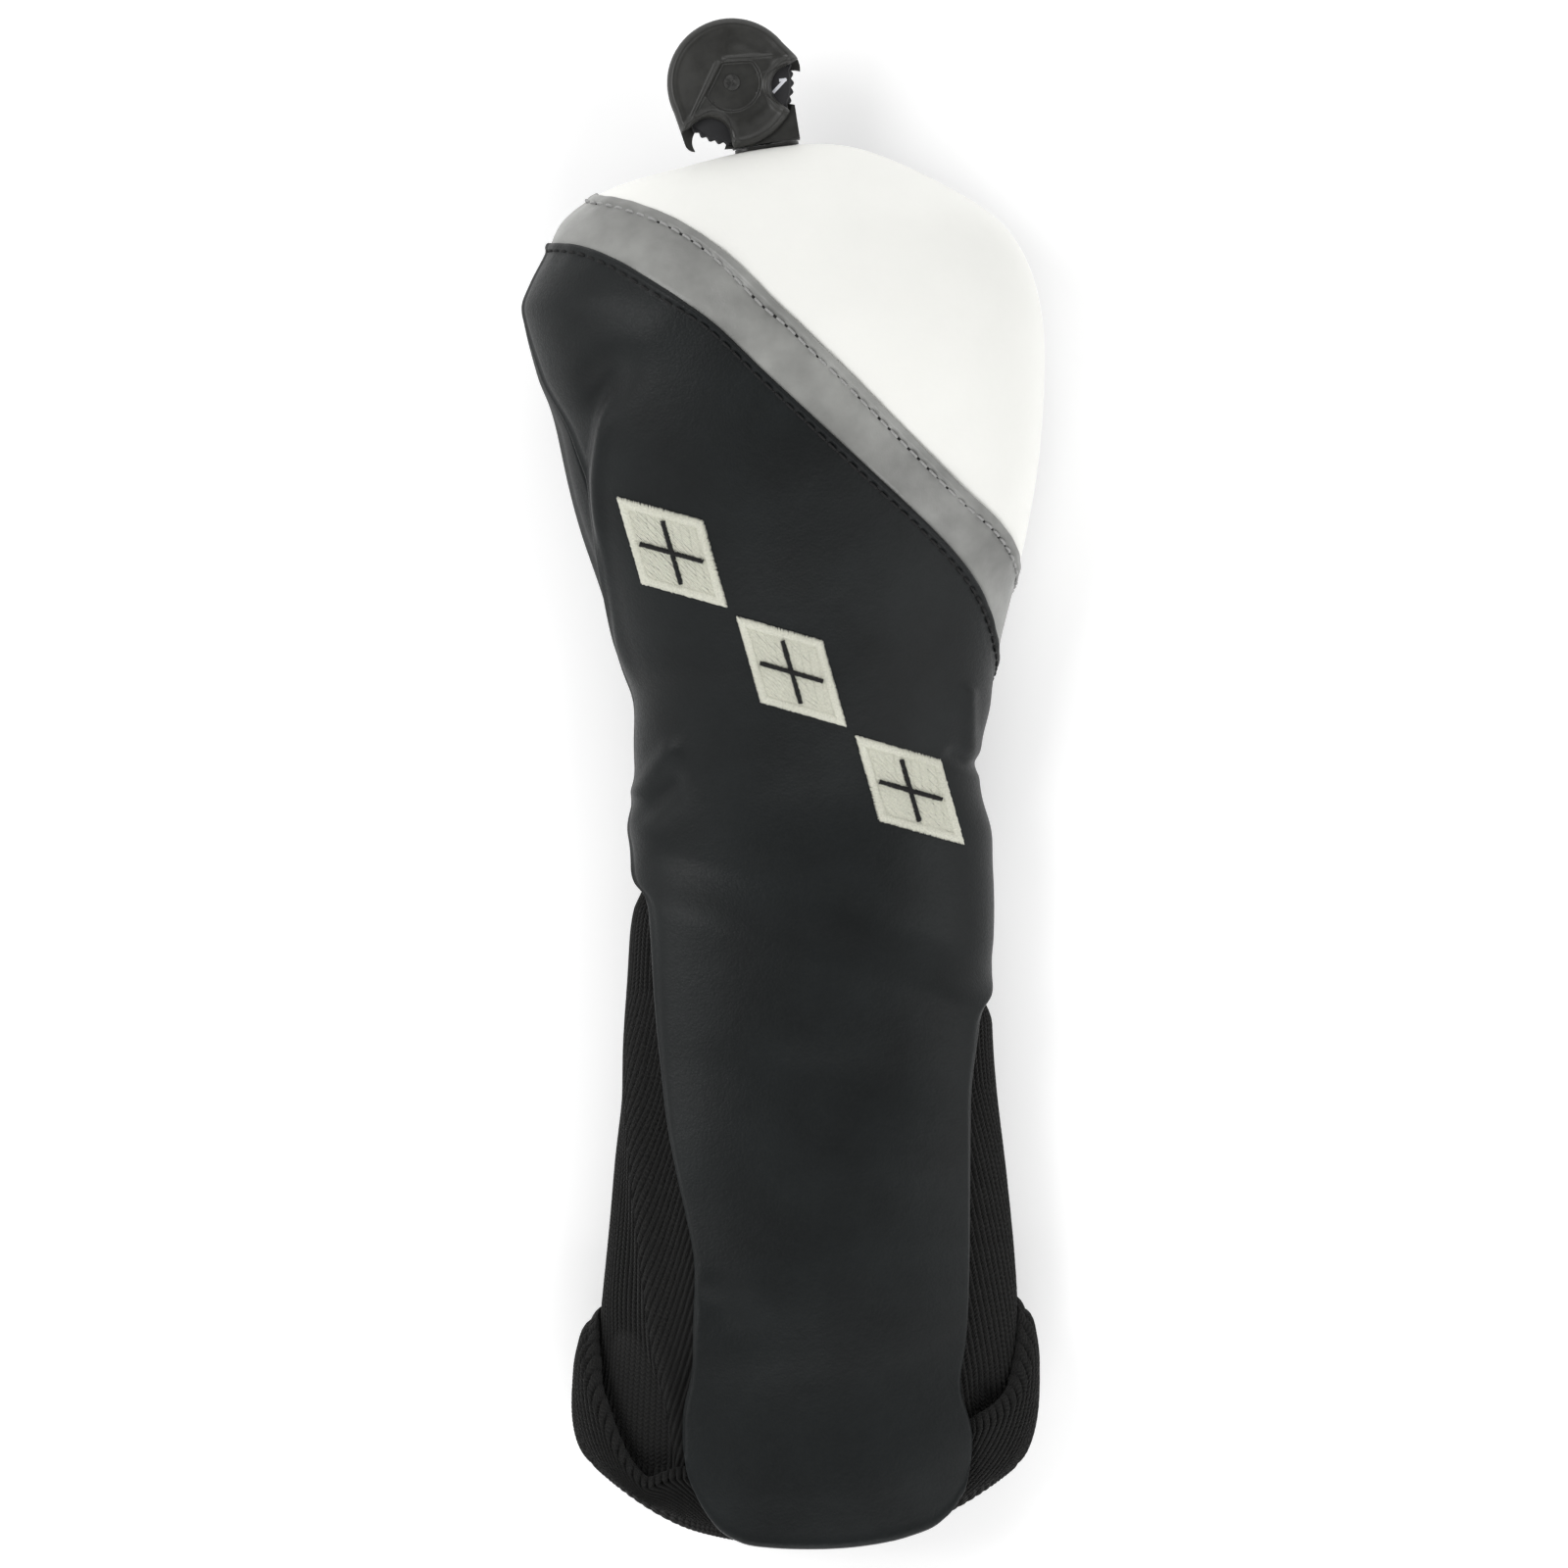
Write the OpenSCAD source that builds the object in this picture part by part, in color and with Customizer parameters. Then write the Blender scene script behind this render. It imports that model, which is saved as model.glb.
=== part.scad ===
// Golf driver head cover, lying on its back with its front up.
// +Y runs from the knit mouth to the crown, +X is to the right as seen from
// the front, +Z is up. The cover rests on z = 0.

/* [Cover] */
// Width across the club head pocket
head_w = 137; // [125:1:150]
// Length from the crown to the mouth of the knit
cover_len = 371; // [340:1:400]
// Height of the filled head pocket above the table
head_h = 78; // [70:1:88]
// Thickness of the synthetic leather
leather_t = 1.6; // [1.2:0.1:1.8]
// Thickness of the foam padding behind the leather
padding_t = 1.6; // [1.2:0.1:2]
// Thickness of the plush pocket lining
lining_t = 1.6; // [1.2:0.1:2]
// Thickness of the ribbed knit
knit_t = 2.2; // [1.6:0.1:2.6]
// Thickness of the turned-up cuff at the sides
cuff_t = 5.4; // [4:0.1:6]

/* [Stitching] */
// Distance between stitches in the topstitched rows
stitch_pitch = 3.8; // [3:0.1:5]
// Length of one stitch
stitch_len = 2.9; // [2:0.1:2.9]
// Width of the sewing thread
thread_w = 0.7; // [0.4:0.05:0.8]

/* [Emblem] */
// Number of embroidered diamonds
diamonds = 3; // [1:1:3]
// Half length of one diamond along the row
diamond_long = 20.5; // [12:0.5:21]
// Half width of one diamond
diamond_wide = 11.5; // [8:0.5:14]
// Thickness of the embroidery
thread_t = 0.8; // [0.4:0.1:1]

/* [Tag] */
// Diameter of the tag's case
case_d = 34.2; // [34:0.1:36]
// Thickness of the case's front shell
shell_t = 1.8; // [1.4:0.1:2]
// Diameter over the thumb teeth of the number dial
dial_d = 32.8; // [31:0.1:33]
// Number of thumb teeth round the dial
dial_teeth = 42; // [24:2:48]
// Radius of the thumb notches in the case
notch_r = 5.9; // [5.5:0.1:6.5]
// Width of the tag's neck
neck_w = 18; // [16:0.5:20]
// Radius of the shoulder that the tag swivels on
shoulder_r = 1.6; // [1.4:0.05:1.8]
// Radius of the rivet that the dial turns on
rivet_r = 1.3; // [1:0.05:1.5]

/* [Hidden] */

leather_black = "#26292a";
leather_white = "#f4f3ee";
leather_grey = "#8f9193";
foam_white = "#e8e6dc";
plush_grey = "#6a6d70";
knit_black = "#17181a";
elastic_white = "#dcdcd8";
thread_grey = "#b9bab8";
thread_pale = "#d8d8cb";
plastic_black = "#2b2c2d";
dial_black = "#191a1b";
digit_white = "#f2f2f0";
steel = "#b4b6b8";

// Space left between pieces that lie side by side.
gap = 0.3;
// Space left between soft layers that lie one on top of the other.
layer_gap = 0.7;
// Radial clearance of a shaft in its bore.
running = 0.05;
round_fn = 64;

// ---- The outer form -------------------------------------------------------
// One station is [left x, left y, right x, right y, front z, seam z, back z,
// sag]. Left and right are the widest points of a cross-section, at the
// seam's height. A back below the table stands for a flat one. Sag is how far
// the middle of the section runs past the line between the widest points.
standard_w = 137;
standard_len = 371;
standard_h = 78;
pole = [-4.5, 168, 38];
pole_tilt = 9;
stations = [
    [-52, -187, 62, -185, 30, 17, -7, 15],
    [-50.5, -166, 62, -164, 34, 19, -7, 7],
    [-48.5, -138, 61.5, -138, 40, 20, -7, 0],
    [-45, -104, 59, -104, 41, 20, -7, 0],
    [-42, -64, 55, -64, 42, 21, -7, 0],
    [-40, -26, 55.5, -26, 45, 22, -7, 0],
    [-39.5, 6, 52, 4, 50, 24, -7, 0],
    [-45, 36, 57, 36, 59, 28, -7, 0],
    [-54, 66, 64, 66, 69, 33, -7, 0],
    [-62, 96, 68, 94, 76, 36, -7, 0],
    [-69, 126, 68, 124, 78, 38, -7, 0],
    [-63, 144, 60, 145, 72, 38, -4, 0],
    [-48, 156, 43, 158, 61, 38, 7, 0],
    [-25, 163.5, 18, 168, 49, 38, 25, 0],
    [pole.x, pole.y, pole.x, pole.y, pole.z, pole.z, pole.z, 0]];
last = len(stations) - 1;
front_round = 2.3;
back_round = 2.4;
// Height over which the flat back rounds up into the sides.
rounding = 5;

function placed(p) = [p.x * head_w / standard_w,
                      pole.y + (p.y - pole.y) * cover_len / standard_len,
                      p.z * head_h / standard_h];
function smooth(x) = let (c = max(0, min(1, x))) c * c * (3 - 2 * c);
function unit(v) = v / norm(v);
// The larger of two heights, with the corner between them rounded.
function rounded_max(a, b) = max(a, b)
    + pow(max(0, rounding - abs(a - b)), 2) / (4 * rounding);
function steps(low, high, n) = [for (i = [0:n]) low + (high - low) * i / n];
// The section past the pole is the last one before it, seen from the back.
function past_pole() = let (s = stations[last - 1])
    [s[2], s[3], s[0], s[1], 2 * pole.z - s[4], s[5], 2 * pole.z - s[6],
     s[7]];
function row_of(i) = i < 0 ? 2 * stations[0] - stations[1]
    : i > last ? past_pole() : stations[i];
function spline(a, b, c, d, u) = 0.5 * (2 * b + (c - a) * u
    + (2 * a - 5 * b + 4 * c - d) * u * u
    + (3 * b - a - 3 * c + d) * u * u * u);
function station(t) = let (i = max(0, min(last - 1, floor(t))))
    spline(row_of(i - 1), row_of(i), row_of(i + 1), row_of(i + 2), t - i);

// The turned-up cuff is thinner in front, under the tongue, and at the back.
cuff_thin_t = 3.2;
function cuff_at(a) = cuff_thin_t
    + (cuff_t - cuff_thin_t) * smooth(2.6 * abs(sin(a)) - 1.6);
// The back of the knit rides on the cuff.
function floor_at(y) = (cuff_thin_t + gap) * smooth((-118 - y) / 25);

// A point of the outer form: t counts stations, and a is the angle round the
// section, 0 at the front, 90 at the right and 180 at the back.
function form(t, a) = let (
    s = station(t),
    u = sin(a),
    front = cos(a) >= 0,
    n = front ? front_round : back_round,
    bow = pow(max(0, 1 - pow(abs(u), n)), 1 / n),
    y = (s[1] + s[3]) / 2 + u * (s[3] - s[1]) / 2 - s[7] * (1 - u * u))
    placed([(s[0] + s[2]) / 2 + u * (s[2] - s[0]) / 2,
            y,
            front ? s[5] + (s[4] - s[5]) * bow
                  : rounded_max(floor_at(y), s[5] - (s[5] - s[6]) * bow)]);
function outward(t, a) = let (dt = 0.02, da = 1)
    unit(cross(form(t + dt, a) - form(t - dt, a),
               form(t, a - da) - form(t, a + da)));
// The same point moved in by depth, or out where depth is negative, and never
// below the table.
function skin(t, a, depth) = let (p = form(t, a) - depth * outward(t, a))
    [p.x, p.y, max(0, p.z)];
// The station number at which the section reaches y, at the angle a.
function t_at(a, y, low = 0, high = last, tries = 16) =
    tries == 0 ? (low + high) / 2
    : let (mid = (low + high) / 2)
      form(mid, a).y < y ? t_at(a, y, mid, high, tries - 1)
                         : t_at(a, y, low, mid, tries - 1);

// ---- Seam lines -----------------------------------------------------------
// The two edges of the band, as [angle, y].
band_top = [[-105, 158], [-90, 156], [-32, 149], [-14, 138], [-2, 126],
            [9, 112], [25, 93.5], [43, 78], [60, 69], [82, 59], [105, 52]];
band_bottom = [[-105, 145], [-90, 143], [-55, 140], [-34, 132.5], [-16, 120],
               [-5, 106], [10, 89], [18, 81], [36, 66], [53, 54], [78, 38],
               [105, 28]];
// The sides of the front panel and of the tongue that it runs into, as
// [y, angle]. Above the waist the left side is the seam to the back panel.
panel_left = [[-203, -30], [-184, -33], [-172, -36], [-155, -32],
              [-135, -35], [-99, -44], [-69, -56], [-52, -63], [-26, -72],
              [-14, -100], [6, -96], [27, -90], [38, -83], [51, -73],
              [64, -66], [78, -62], [97, -72], [113, -79], [126, -84],
              [150, -86]];
panel_right = [[-203, 50], [-182, 55], [-160, 53], [-134, 50], [-117, 53],
               [-83, 62], [-63, 72], [-54, 80], [-44, 105]];
left_seam = -86;
right_seam = 105;
// The seam where the leather ends and the knit begins, all round.
function neck_seam_y(a) = -37 - 15 * sin(a);
// The rim of the turned-up cuff dips in front, under the tongue.
function cuff_rim_y(a) = -145 - 35 * pow(max(0, cos(a)), 1.2);

// ---- How far the tongue rides above the knit ------------------------------
backing_t = 1.1;
sock_rise = layer_gap + backing_t + layer_gap + leather_t;
cuff_rise = gap + cuff_thin_t;
function panel_rise(a, y) =
    sock_rise * smooth((neck_seam_y(a) + 8 - y) / 18)
    + cuff_rise * smooth((cuff_rim_y(a) + 14 - y) / 12);
// The knit's outer face tucks under the leather at the neck seam.
tuck = 6;
function knit_depth(a, y) = (leather_t + layer_gap)
    * smooth((y - neck_seam_y(a) + 12) / 10);

// ---- Solids made from grids of points -------------------------------------
// A closed sheet between two grids of the same size.
module sheet(outer, inner) {
    rows = len(outer);
    cols = len(outer[0]);
    count = rows * cols;
    quads = [for (i = [0:rows - 2], j = [0:cols - 2])
        [i * cols + j, i * cols + j + 1, (i + 1) * cols + j + 1,
         (i + 1) * cols + j]];
    edge = concat([for (j = [0:cols - 1]) j],
                  [for (i = [1:rows - 1]) i * cols + cols - 1],
                  [for (j = [cols - 2:-1:0]) (rows - 1) * cols + j],
                  [for (i = [rows - 2:-1:1]) i * cols]);
    n = len(edge);
    polyhedron(
        points = concat([for (r = outer) each r], [for (r = inner) each r]),
        faces = concat(
            [for (q = quads) each [[q[2], q[1], q[0]], [q[3], q[2], q[0]]]],
            [for (q = quads) each [[q[0], q[1], q[2]] + count * [1, 1, 1],
                                   [q[0], q[2], q[3]] + count * [1, 1, 1]]],
            [for (k = [0:n - 1]) let (p = edge[k], q = edge[(k + 1) % n])
                each [[p, q, p + count], [q, q + count, p + count]]]));
}
// A closed ring of loops, each joined to the next and the last to the first.
module ring(loops) {
    n = len(loops);
    m = len(loops[0]);
    polyhedron(
        points = [for (l = loops) each l],
        faces = [for (i = [0:n - 1], j = [0:m - 1]) let (
            a = i * m + j,
            b = i * m + (j + 1) % m,
            c = ((i + 1) % n) * m + (j + 1) % m,
            d = ((i + 1) % n) * m + j)
            each [[a, b, c], [a, c, d]]]);
}
function lifted(spots, depth) =
    [for (row = spots) [for (s = row) skin(s[0], s[1], depth)]];
module layer(spots, depth, thickness) {
    sheet(lifted(spots, depth), lifted(spots, depth + thickness));
}
// Spots [t, a] between a low and a high line, each a function of the angle.
function between(low, high, a0, a1, cols, rows) =
    [for (s = steps(0, 1, rows)) [for (a = steps(a0, a1, cols))
        let (from = low(a), to = high(a)) [from + (to - from) * s, a]]];

// ---- Leather panels -------------------------------------------------------
// The panels stop short of the pole, round the slot for the tag's base.
slot_share = 0.26;
slot_t = last - slot_share;
seam_gap = 0.25;
crown_spots = between(function (a) t_at(a, lookup(a, band_top) + seam_gap),
                      function (a) slot_t, left_seam, right_seam, 28, 9);
band_spots = between(function (a) t_at(a, lookup(a, band_bottom)),
                     function (a) t_at(a, lookup(a, band_top)),
                     left_seam, right_seam, 28, 2);
// The front panel's rows are level up to waist_y, and above it they fan out
// to follow the band.
waist_y = 0;
waist_share = 0.58;
mouth_t = 0.03;
panel_rows = 28;
panel_cols = 24;
left_top_y = 143;
right_top_y = 28;
function panel_sides(s) = s < waist_share
    ? let (y = -196 + (waist_y + 196) * s / waist_share)
      [lookup(y, panel_left), lookup(y, panel_right)]
    : let (rise = (s - waist_share) / (1 - waist_share),
           low = t_at(left_seam, waist_y),
           high = t_at(left_seam, left_top_y),
           y = form(low + (high - low) * rise, left_seam).y)
      [lookup(y, panel_left), right_seam];
// The tongue's end is round: its rows start later towards its sides.
function panel_t(s, a, across) = let (
    waist = t_at(a, waist_y),
    end = mouth_t + 0.75 * pow(abs(across), 5),
    top = t_at(a, lookup(a, band_bottom) - seam_gap))
    s < waist_share ? end + (waist - end) * s / waist_share
    : waist + (top - waist) * (s - waist_share) / (1 - waist_share);
panel_spots = [for (s = steps(0, 1, panel_rows)) let (sides = panel_sides(s))
    [for (k = steps(0, 1, panel_cols))
        let (a = sides[0] + (sides[1] - sides[0]) * k)
        [panel_t(s, a, 2 * k - 1), a]]];
function above_knit(spots, depth) = [for (row = spots) [for (s = row)
    skin(s[0], s[1], depth - panel_rise(s[1], form(s[0], s[1]).y))]];
module front_panel() {
    color(leather_black)
    sheet(above_knit(panel_spots, 0), above_knit(panel_spots, leather_t));
}
module accent_band() {
    color(leather_grey)
    layer(band_spots, 0, leather_t);
}
module crown_panel() {
    color(leather_white)
    layer(crown_spots, 0, leather_t);
}
// The back panel meets the front panel and the crown at both side seams.
back_rows = 22;
back_cols = 20;
side_gap = 0.9;
back_spots = [for (s = steps(0, 1, back_rows)) let (
    low = t_at(left_seam, neck_seam_y(left_seam)),
    y = form(low + (slot_t - low) * s, left_seam).y,
    a1 = 360 + lookup(y, panel_left) - side_gap)
    [for (a = steps(right_seam + side_gap, a1, back_cols))
        let (from = t_at(a, neck_seam_y(a)))
        [from + (slot_t - from) * s, a]]];
module back_panel() {
    color(leather_black)
    layer(back_spots, 0, leather_t);
}
// The underside of the tongue, a little inside its turned edges.
backing_rows = 11;
backing_spots = [for (i = [1:backing_rows]) [for (j = [1:panel_cols - 1])
    panel_spots[i][j]]];
module tongue_backing() {
    color(plush_grey)
    sheet(above_knit(backing_spots, leather_t + layer_gap),
          above_knit(backing_spots, leather_t + layer_gap + backing_t));
}

// ---- Padding, lining and elastic ------------------------------------------
padding_depth = leather_t + layer_gap;
lining_depth = padding_depth + padding_t + layer_gap;
elastic_depth = lining_depth + lining_t + layer_gap;
inner_slot_share = 0.62;
inner_slot_t = last - inner_slot_share;
module inner_layer(a0, depth, thickness) {
    half_turn = 180 - 2 * gap;
    layer(between(function (a) t_at(a, neck_seam_y(a) + tuck + 3),
                  function (a) inner_slot_t, a0 + gap, a0 + gap + half_turn,
                  28, 17), depth, thickness);
}
module padding_front() {
    color(foam_white) inner_layer(-90, padding_depth, padding_t);
}
module padding_back() {
    color(foam_white) inner_layer(90, padding_depth, padding_t);
}
module lining_front() {
    color(plush_grey) inner_layer(-90, lining_depth, lining_t);
}
module lining_back() {
    color(plush_grey) inner_layer(90, lining_depth, lining_t);
}
elastic_low = 0;
elastic_high = 12;
elastic_t = 1.2;
module waist_elastic() {
    color(elastic_white)
    ring([for (a = [0:10:350]) let (
        low = t_at(a, elastic_low),
        high = t_at(a, elastic_high),
        deep = elastic_depth + elastic_t)
        [skin(low, a, elastic_depth), skin(high, a, elastic_depth),
         skin(high, a, deep), skin(low, a, deep)]]);
}

// ---- Ribbed knit ----------------------------------------------------------
// One tube, whose lower end is folded out and up into a cuff.
fold_t = 0.12;
module knit_sock() {
    color(knit_black)
    ring([for (a = [0:7.5:352.5]) let (
        top = t_at(a, neck_seam_y(a) + tuck),
        rim = t_at(a, cuff_rim_y(a)),
        cuff = gap + cuff_at(a))
        concat(
            [for (t = steps(top, 0.05, 9))
                skin(t, a, knit_t + knit_depth(a, form(t, a).y))],
            [skin(0, a, knit_t / 2), skin(0, a, -cuff / 2)],
            [for (t = steps(0.05, rim - 0.08, 3)) skin(t, a, -cuff)],
            [skin(rim, a, -cuff / 2)],
            [for (t = steps(rim - 0.08, fold_t, 3)) skin(t, a, -gap)],
            [for (t = steps(fold_t, top, 9))
                skin(t, a, knit_depth(a, form(t, a).y))])]);
}

// ---- Topstitching ---------------------------------------------------------
// Running length along a line of points.
function lengths(points) = [for (i = 0, sum = 0; i < len(points);
    sum = sum + (i < len(points) - 1 ? norm(points[i + 1] - points[i]) : 0),
    i = i + 1) sum];
// A row of stitches along spots(a) between two angles, lying on the leather.
module stitch_row(spot, a0, a1) {
    angles = steps(a0, a1, 60);
    run = lengths([for (a = angles) let (s = spot(a)) skin(s[0], s[1], 0)]);
    angle_at = [for (i = [0:len(angles) - 1]) [run[i], angles[i]]];
    count = floor((run[len(run) - 1] - stitch_len) / stitch_pitch);
    for (k = [0:count])
        stitch(spot(lookup(k * stitch_pitch, angle_at)),
               spot(lookup(k * stitch_pitch + stitch_len, angle_at)));
}
module stitch(from, to) {
    p = skin(from[0], from[1], -0.05);
    q = skin(to[0], to[1], -0.05);
    up = outward(from[0], from[1]);
    side = unit(cross(q - p, up)) * thread_w / 2;
    sheet([[p - side + thread_w * up, p + side + thread_w * up],
           [q - side + thread_w * up, q + side + thread_w * up]],
          [[p - side, p + side], [q - side, q + side]]);
}
module band_stitching() {
    from_top = 0.27;
    color(thread_grey)
    stitch_row(function (a) let (low = t_at(a, lookup(a, band_bottom)),
                                 high = t_at(a, lookup(a, band_top)))
                   [high + (low - high) * from_top, a],
               left_seam + 2, right_seam - 2);
}
module panel_stitching() {
    below_band = 3.4;
    color(leather_black)
    stitch_row(function (a)
                   [t_at(a, lookup(a, band_bottom) - below_band), a],
               left_seam + 4, right_seam - 2);
}

// ---- Emblem: a diagonal row of diamonds -----------------------------------
emblem_at = [2, 29.5];
emblem_slope = -45;
diamond_space = 3;
border_w = 2.4;
cross_w = 1;
thread_lift = 0.1;
// The spot [t, a] under a place on the front, found by going to and fro
// between its length and its angle.
function spot_under(x, y, a = 0, tries = 5) = let (
    t = t_at(a, y),
    s = station(t),
    u = (2 * x * standard_w / head_w - s[0] - s[2]) / (s[2] - s[0]))
    tries == 0 ? [t, a]
    : spot_under(x, y, asin(max(-0.98, min(0.98, u))), tries - 1);
// A point of the embroidery: along and across the row, and above the leather.
function sewn(along, across, height) = let (
    c = cos(emblem_slope),
    s = sin(emblem_slope),
    spot = spot_under(emblem_at.x + along * c - across * s,
                      emblem_at.y + along * s + across * c))
    skin(spot[0], spot[1], -height);
function sewn_grid(middle, long, wide, n, height) =
    [for (i = steps(0, 1, n)) [for (j = steps(0, 1, n))
        sewn(middle + long * (j - i), wide * (i + j - 1), height)]];
function corner(k, long, wide) =
    [[long, 0], [0, wide], [-long, 0], [0, -wide]][k % 4];
function outline(long, wide, n) = [for (k = [0:3], i = [0:n - 1])
    corner(k, long, wide) * (1 - i / n) + corner(k + 1, long, wide) * i / n];
middles = [for (i = [0:diamonds - 1])
    (i - (diamonds - 1) / 2) * (2 * diamond_long + diamond_space)];
module emblem_borders() {
    n = 4;
    outer = outline(diamond_long, diamond_wide, n);
    inner = outline(diamond_long - border_w * 1.45,
                    diamond_wide - border_w, n);
    top = thread_lift + thread_t;
    color(thread_pale)
    for (m = middles)
        ring([for (i = [0:len(outer) - 1])
            [sewn(m + outer[i].x, outer[i].y, thread_lift),
             sewn(m + outer[i].x, outer[i].y, top),
             sewn(m + inner[i].x, inner[i].y, top),
             sewn(m + inner[i].x, inner[i].y, thread_lift)]]);
}
fill_long = diamond_long - border_w * 1.6;
fill_wide = diamond_wide - border_w * 1.1;
fill_t = thread_t * 0.6;
module emblem_fills() {
    color(thread_pale)
    for (m = middles)
        sheet(sewn_grid(m, fill_long, fill_wide, 4, thread_lift + fill_t),
              sewn_grid(m, fill_long, fill_wide, 4, thread_lift));
}
// Two thin lines over each fill cross in its middle.
module emblem_crosses() {
    reach = 0.44;
    low = thread_lift + fill_t + 0.05;
    color(leather_black)
    for (m = middles)
        for (side = [-1, 1])
            sheet(cross_line(m, side, reach, low + thread_t * 0.4),
                  cross_line(m, side, reach, low));
}
function cross_line(m, side, reach, height) =
    [for (k = steps(-reach, reach, 4)) [for (e = [-cross_w, cross_w] / 2)
        sewn(m + k * fill_long + e * side * 0.6,
             side * k * fill_wide * 1.02 - e * 0.8,
             height + (side > 0 ? thread_t * 0.45 : 0))]];

// ---- Tag ------------------------------------------------------------------
// The tag's own axes: origin at the pole, +Y along the swivel axis away from
// the crown, +X across the neck, +Z out of the tag's face.
module at_pole() {
    translate(placed(pole)) rotate([0, 0, pole_tilt]) children();
}
pivot = [-6.5, 18.15];
case_r = case_d / 2;
dial_r = dial_d / 2;
tooth_deep = 0.7;
// Heights of the layers above the swivel axis.
rear_low = 0.4;
rear_high = 2.2;
dial_low = rear_high + gap;
dial_high = dial_low + 1.8;
front_low = dial_high + gap;
front_high = front_low + shell_t;
spine_r = 2.6;
neck_low = 1.1;
neck_high = 10;
notch_angles = [-12, 239.5];
notch_out = 16.4;
rear_notch_less = 1.4;
module notches(low, high, grow = 0) {
    for (a = notch_angles)
        translate([pivot.x + notch_out * cos(a), pivot.y + notch_out * sin(a), low])
            cylinder(r = notch_r + grow, h = high - low, $fn = round_fn);
}
module disc(r, low, high) {
    translate([pivot.x, pivot.y, low])
        cylinder(r = r, h = high - low, $fn = round_fn);
}
// The case is round, but drawn out beside each notch. One horn is
// [distance out, angle, radius].
horns = [[18.2, 228, 2.6], [13.2, 8, 5.4]];
module case_outline(low, high) {
    for (horn = horns)
        hull() {
            disc(case_r - 0.12, low, high);
            translate([pivot.x + horn[0] * cos(horn[1]),
                       pivot.y + horn[0] * sin(horn[1]), low])
                cylinder(r = horn[2], h = high - low, $fn = round_fn);
        }
    disc(case_r, low, high);
}
// Room for the crown below the neck.
module below_neck() {
    side = 2 * case_d;
    translate([-side / 2, neck_low - side, -side / 2]) cube(side);
}
module along_axis(r, low, high) {
    translate([0, low, 0]) rotate([-90, 0, 0])
        cylinder(r = r, h = high - low, $fn = round_fn);
}
module oval_plate(low, high) {
    plate_w = neck_w - 1;
    plate_h = 7.4;
    translate([-(plate_w - plate_h) / 2, low, -plate_h / 2])
        cube([plate_w - plate_h, high - low, plate_h]);
    for (side = [-1, 1])
        translate([side * (plate_w - plate_h) / 2, 0, 0])
            along_axis(plate_h / 2, low, high);
}
plate_high = 0.7;
barrel_low = -3.3;
barrel_r = 2.75;
washer_low = -4.3;
// The base plate and its barrel line the slot in the crown.
module base_plate() {
    color(plastic_black)
    at_pole() difference() {
        union() {
            oval_plate(0, plate_high);
            along_axis(barrel_r, barrel_low, 0.1);
        }
        along_axis(shoulder_r + running, barrel_low - 1, plate_high + 1);
    }
}
// The washer clamps the leather against the base plate from inside.
module base_washer() {
    color(plastic_black)
    at_pole() difference() {
        oval_plate(washer_low, barrel_low);
        along_axis(shoulder_r + running, washer_low - 1, barrel_low + 1);
    }
}
screw_r = 1.2;
screw_high = 10;
screw_head_r = 3.2;
screw_head_h = 1.4;
driver_slot = [0.8, 4.4, 0.7];
module shoulder_screw() {
    head_high = washer_low - 0.15;
    head_low = head_high - screw_head_h;
    color(steel)
    at_pole() difference() {
        union() {
            along_axis(screw_head_r, head_low, head_high);
            along_axis(shoulder_r, head_high - 0.1, neck_low - 0.1);
            along_axis(screw_r, neck_low - 0.2, screw_high);
        }
        for (turn = [0, 90])
            translate([0, head_low, 0]) rotate([0, turn, 0])
                cube([driver_slot.x, 2 * driver_slot.z, driver_slot.y],
                     center = true);
    }
}
module tag_rear_shell() {
    color(plastic_black)
    at_pole() difference() {
        union() {
            case_outline(rear_low, rear_high);
            translate([-neck_w / 2, neck_low, -spine_r])
                cube([neck_w, neck_high - neck_low,
                      spine_r + front_low - running]);
            along_axis(spine_r, neck_low, screw_high + 2);
        }
        disc(dial_r + 0.6, rear_high, front_high + 1);
        below_neck();
        notches(rear_low - 1, rear_high + 1, -rear_notch_less);
        disc(rivet_r + running, -spine_r - 1, rear_high + 1);
        along_axis(screw_r + running, neck_low - 1, screw_high + gap);
    }
}
// The front shell has two thumb notches and a raised bar beside a shallow
// pocket round the rivet.
pocket_deep = 0.5;
pocket_r = 8;
bar_turn = pole_tilt - 33;
bar_size = [1.2, 14, 0.5];
bar_at = [-4.6, -2.4];
pocket_left = -3;
module tag_front_shell() {
    color(plastic_black)
    at_pole() difference() {
        union() {
            case_outline(front_low, front_high);
            translate([pivot.x + bar_at.x, pivot.y + bar_at.y, front_high])
                rotate([0, 0, bar_turn])
                    translate([-bar_size.x / 2, -bar_size.y / 2, -0.1])
                        cube(bar_size);
        }
        notches(front_low - 1, front_high + 1);
        below_neck();
        intersection() {
            disc(pocket_r, front_high - pocket_deep, front_high + 1);
            translate([pivot.x, pivot.y, front_high])
                rotate([0, 0, bar_turn])
                    translate([pocket_left, -pocket_r, -1])
                        cube([2 * pocket_r, 1.75 * pocket_r, 3]);
        }
        disc(rivet_r + running, front_low - 1, front_high + 1);
    }
}
module number_dial() {
    color(dial_black)
    at_pole() difference() {
        union() {
            disc(dial_r - tooth_deep, dial_low, dial_high);
            for (k = [1:dial_teeth])
                translate([pivot.x, pivot.y, dial_low])
                    rotate([0, 0, k * 360 / dial_teeth])
                        translate([dial_r - tooth_deep - 0.3, -0.6, 0])
                            cube([tooth_deep + 0.3, 1.2,
                                  dial_high - dial_low]);
        }
        disc(rivet_r + running, dial_low - 1, dial_high + 1);
    }
}
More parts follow.
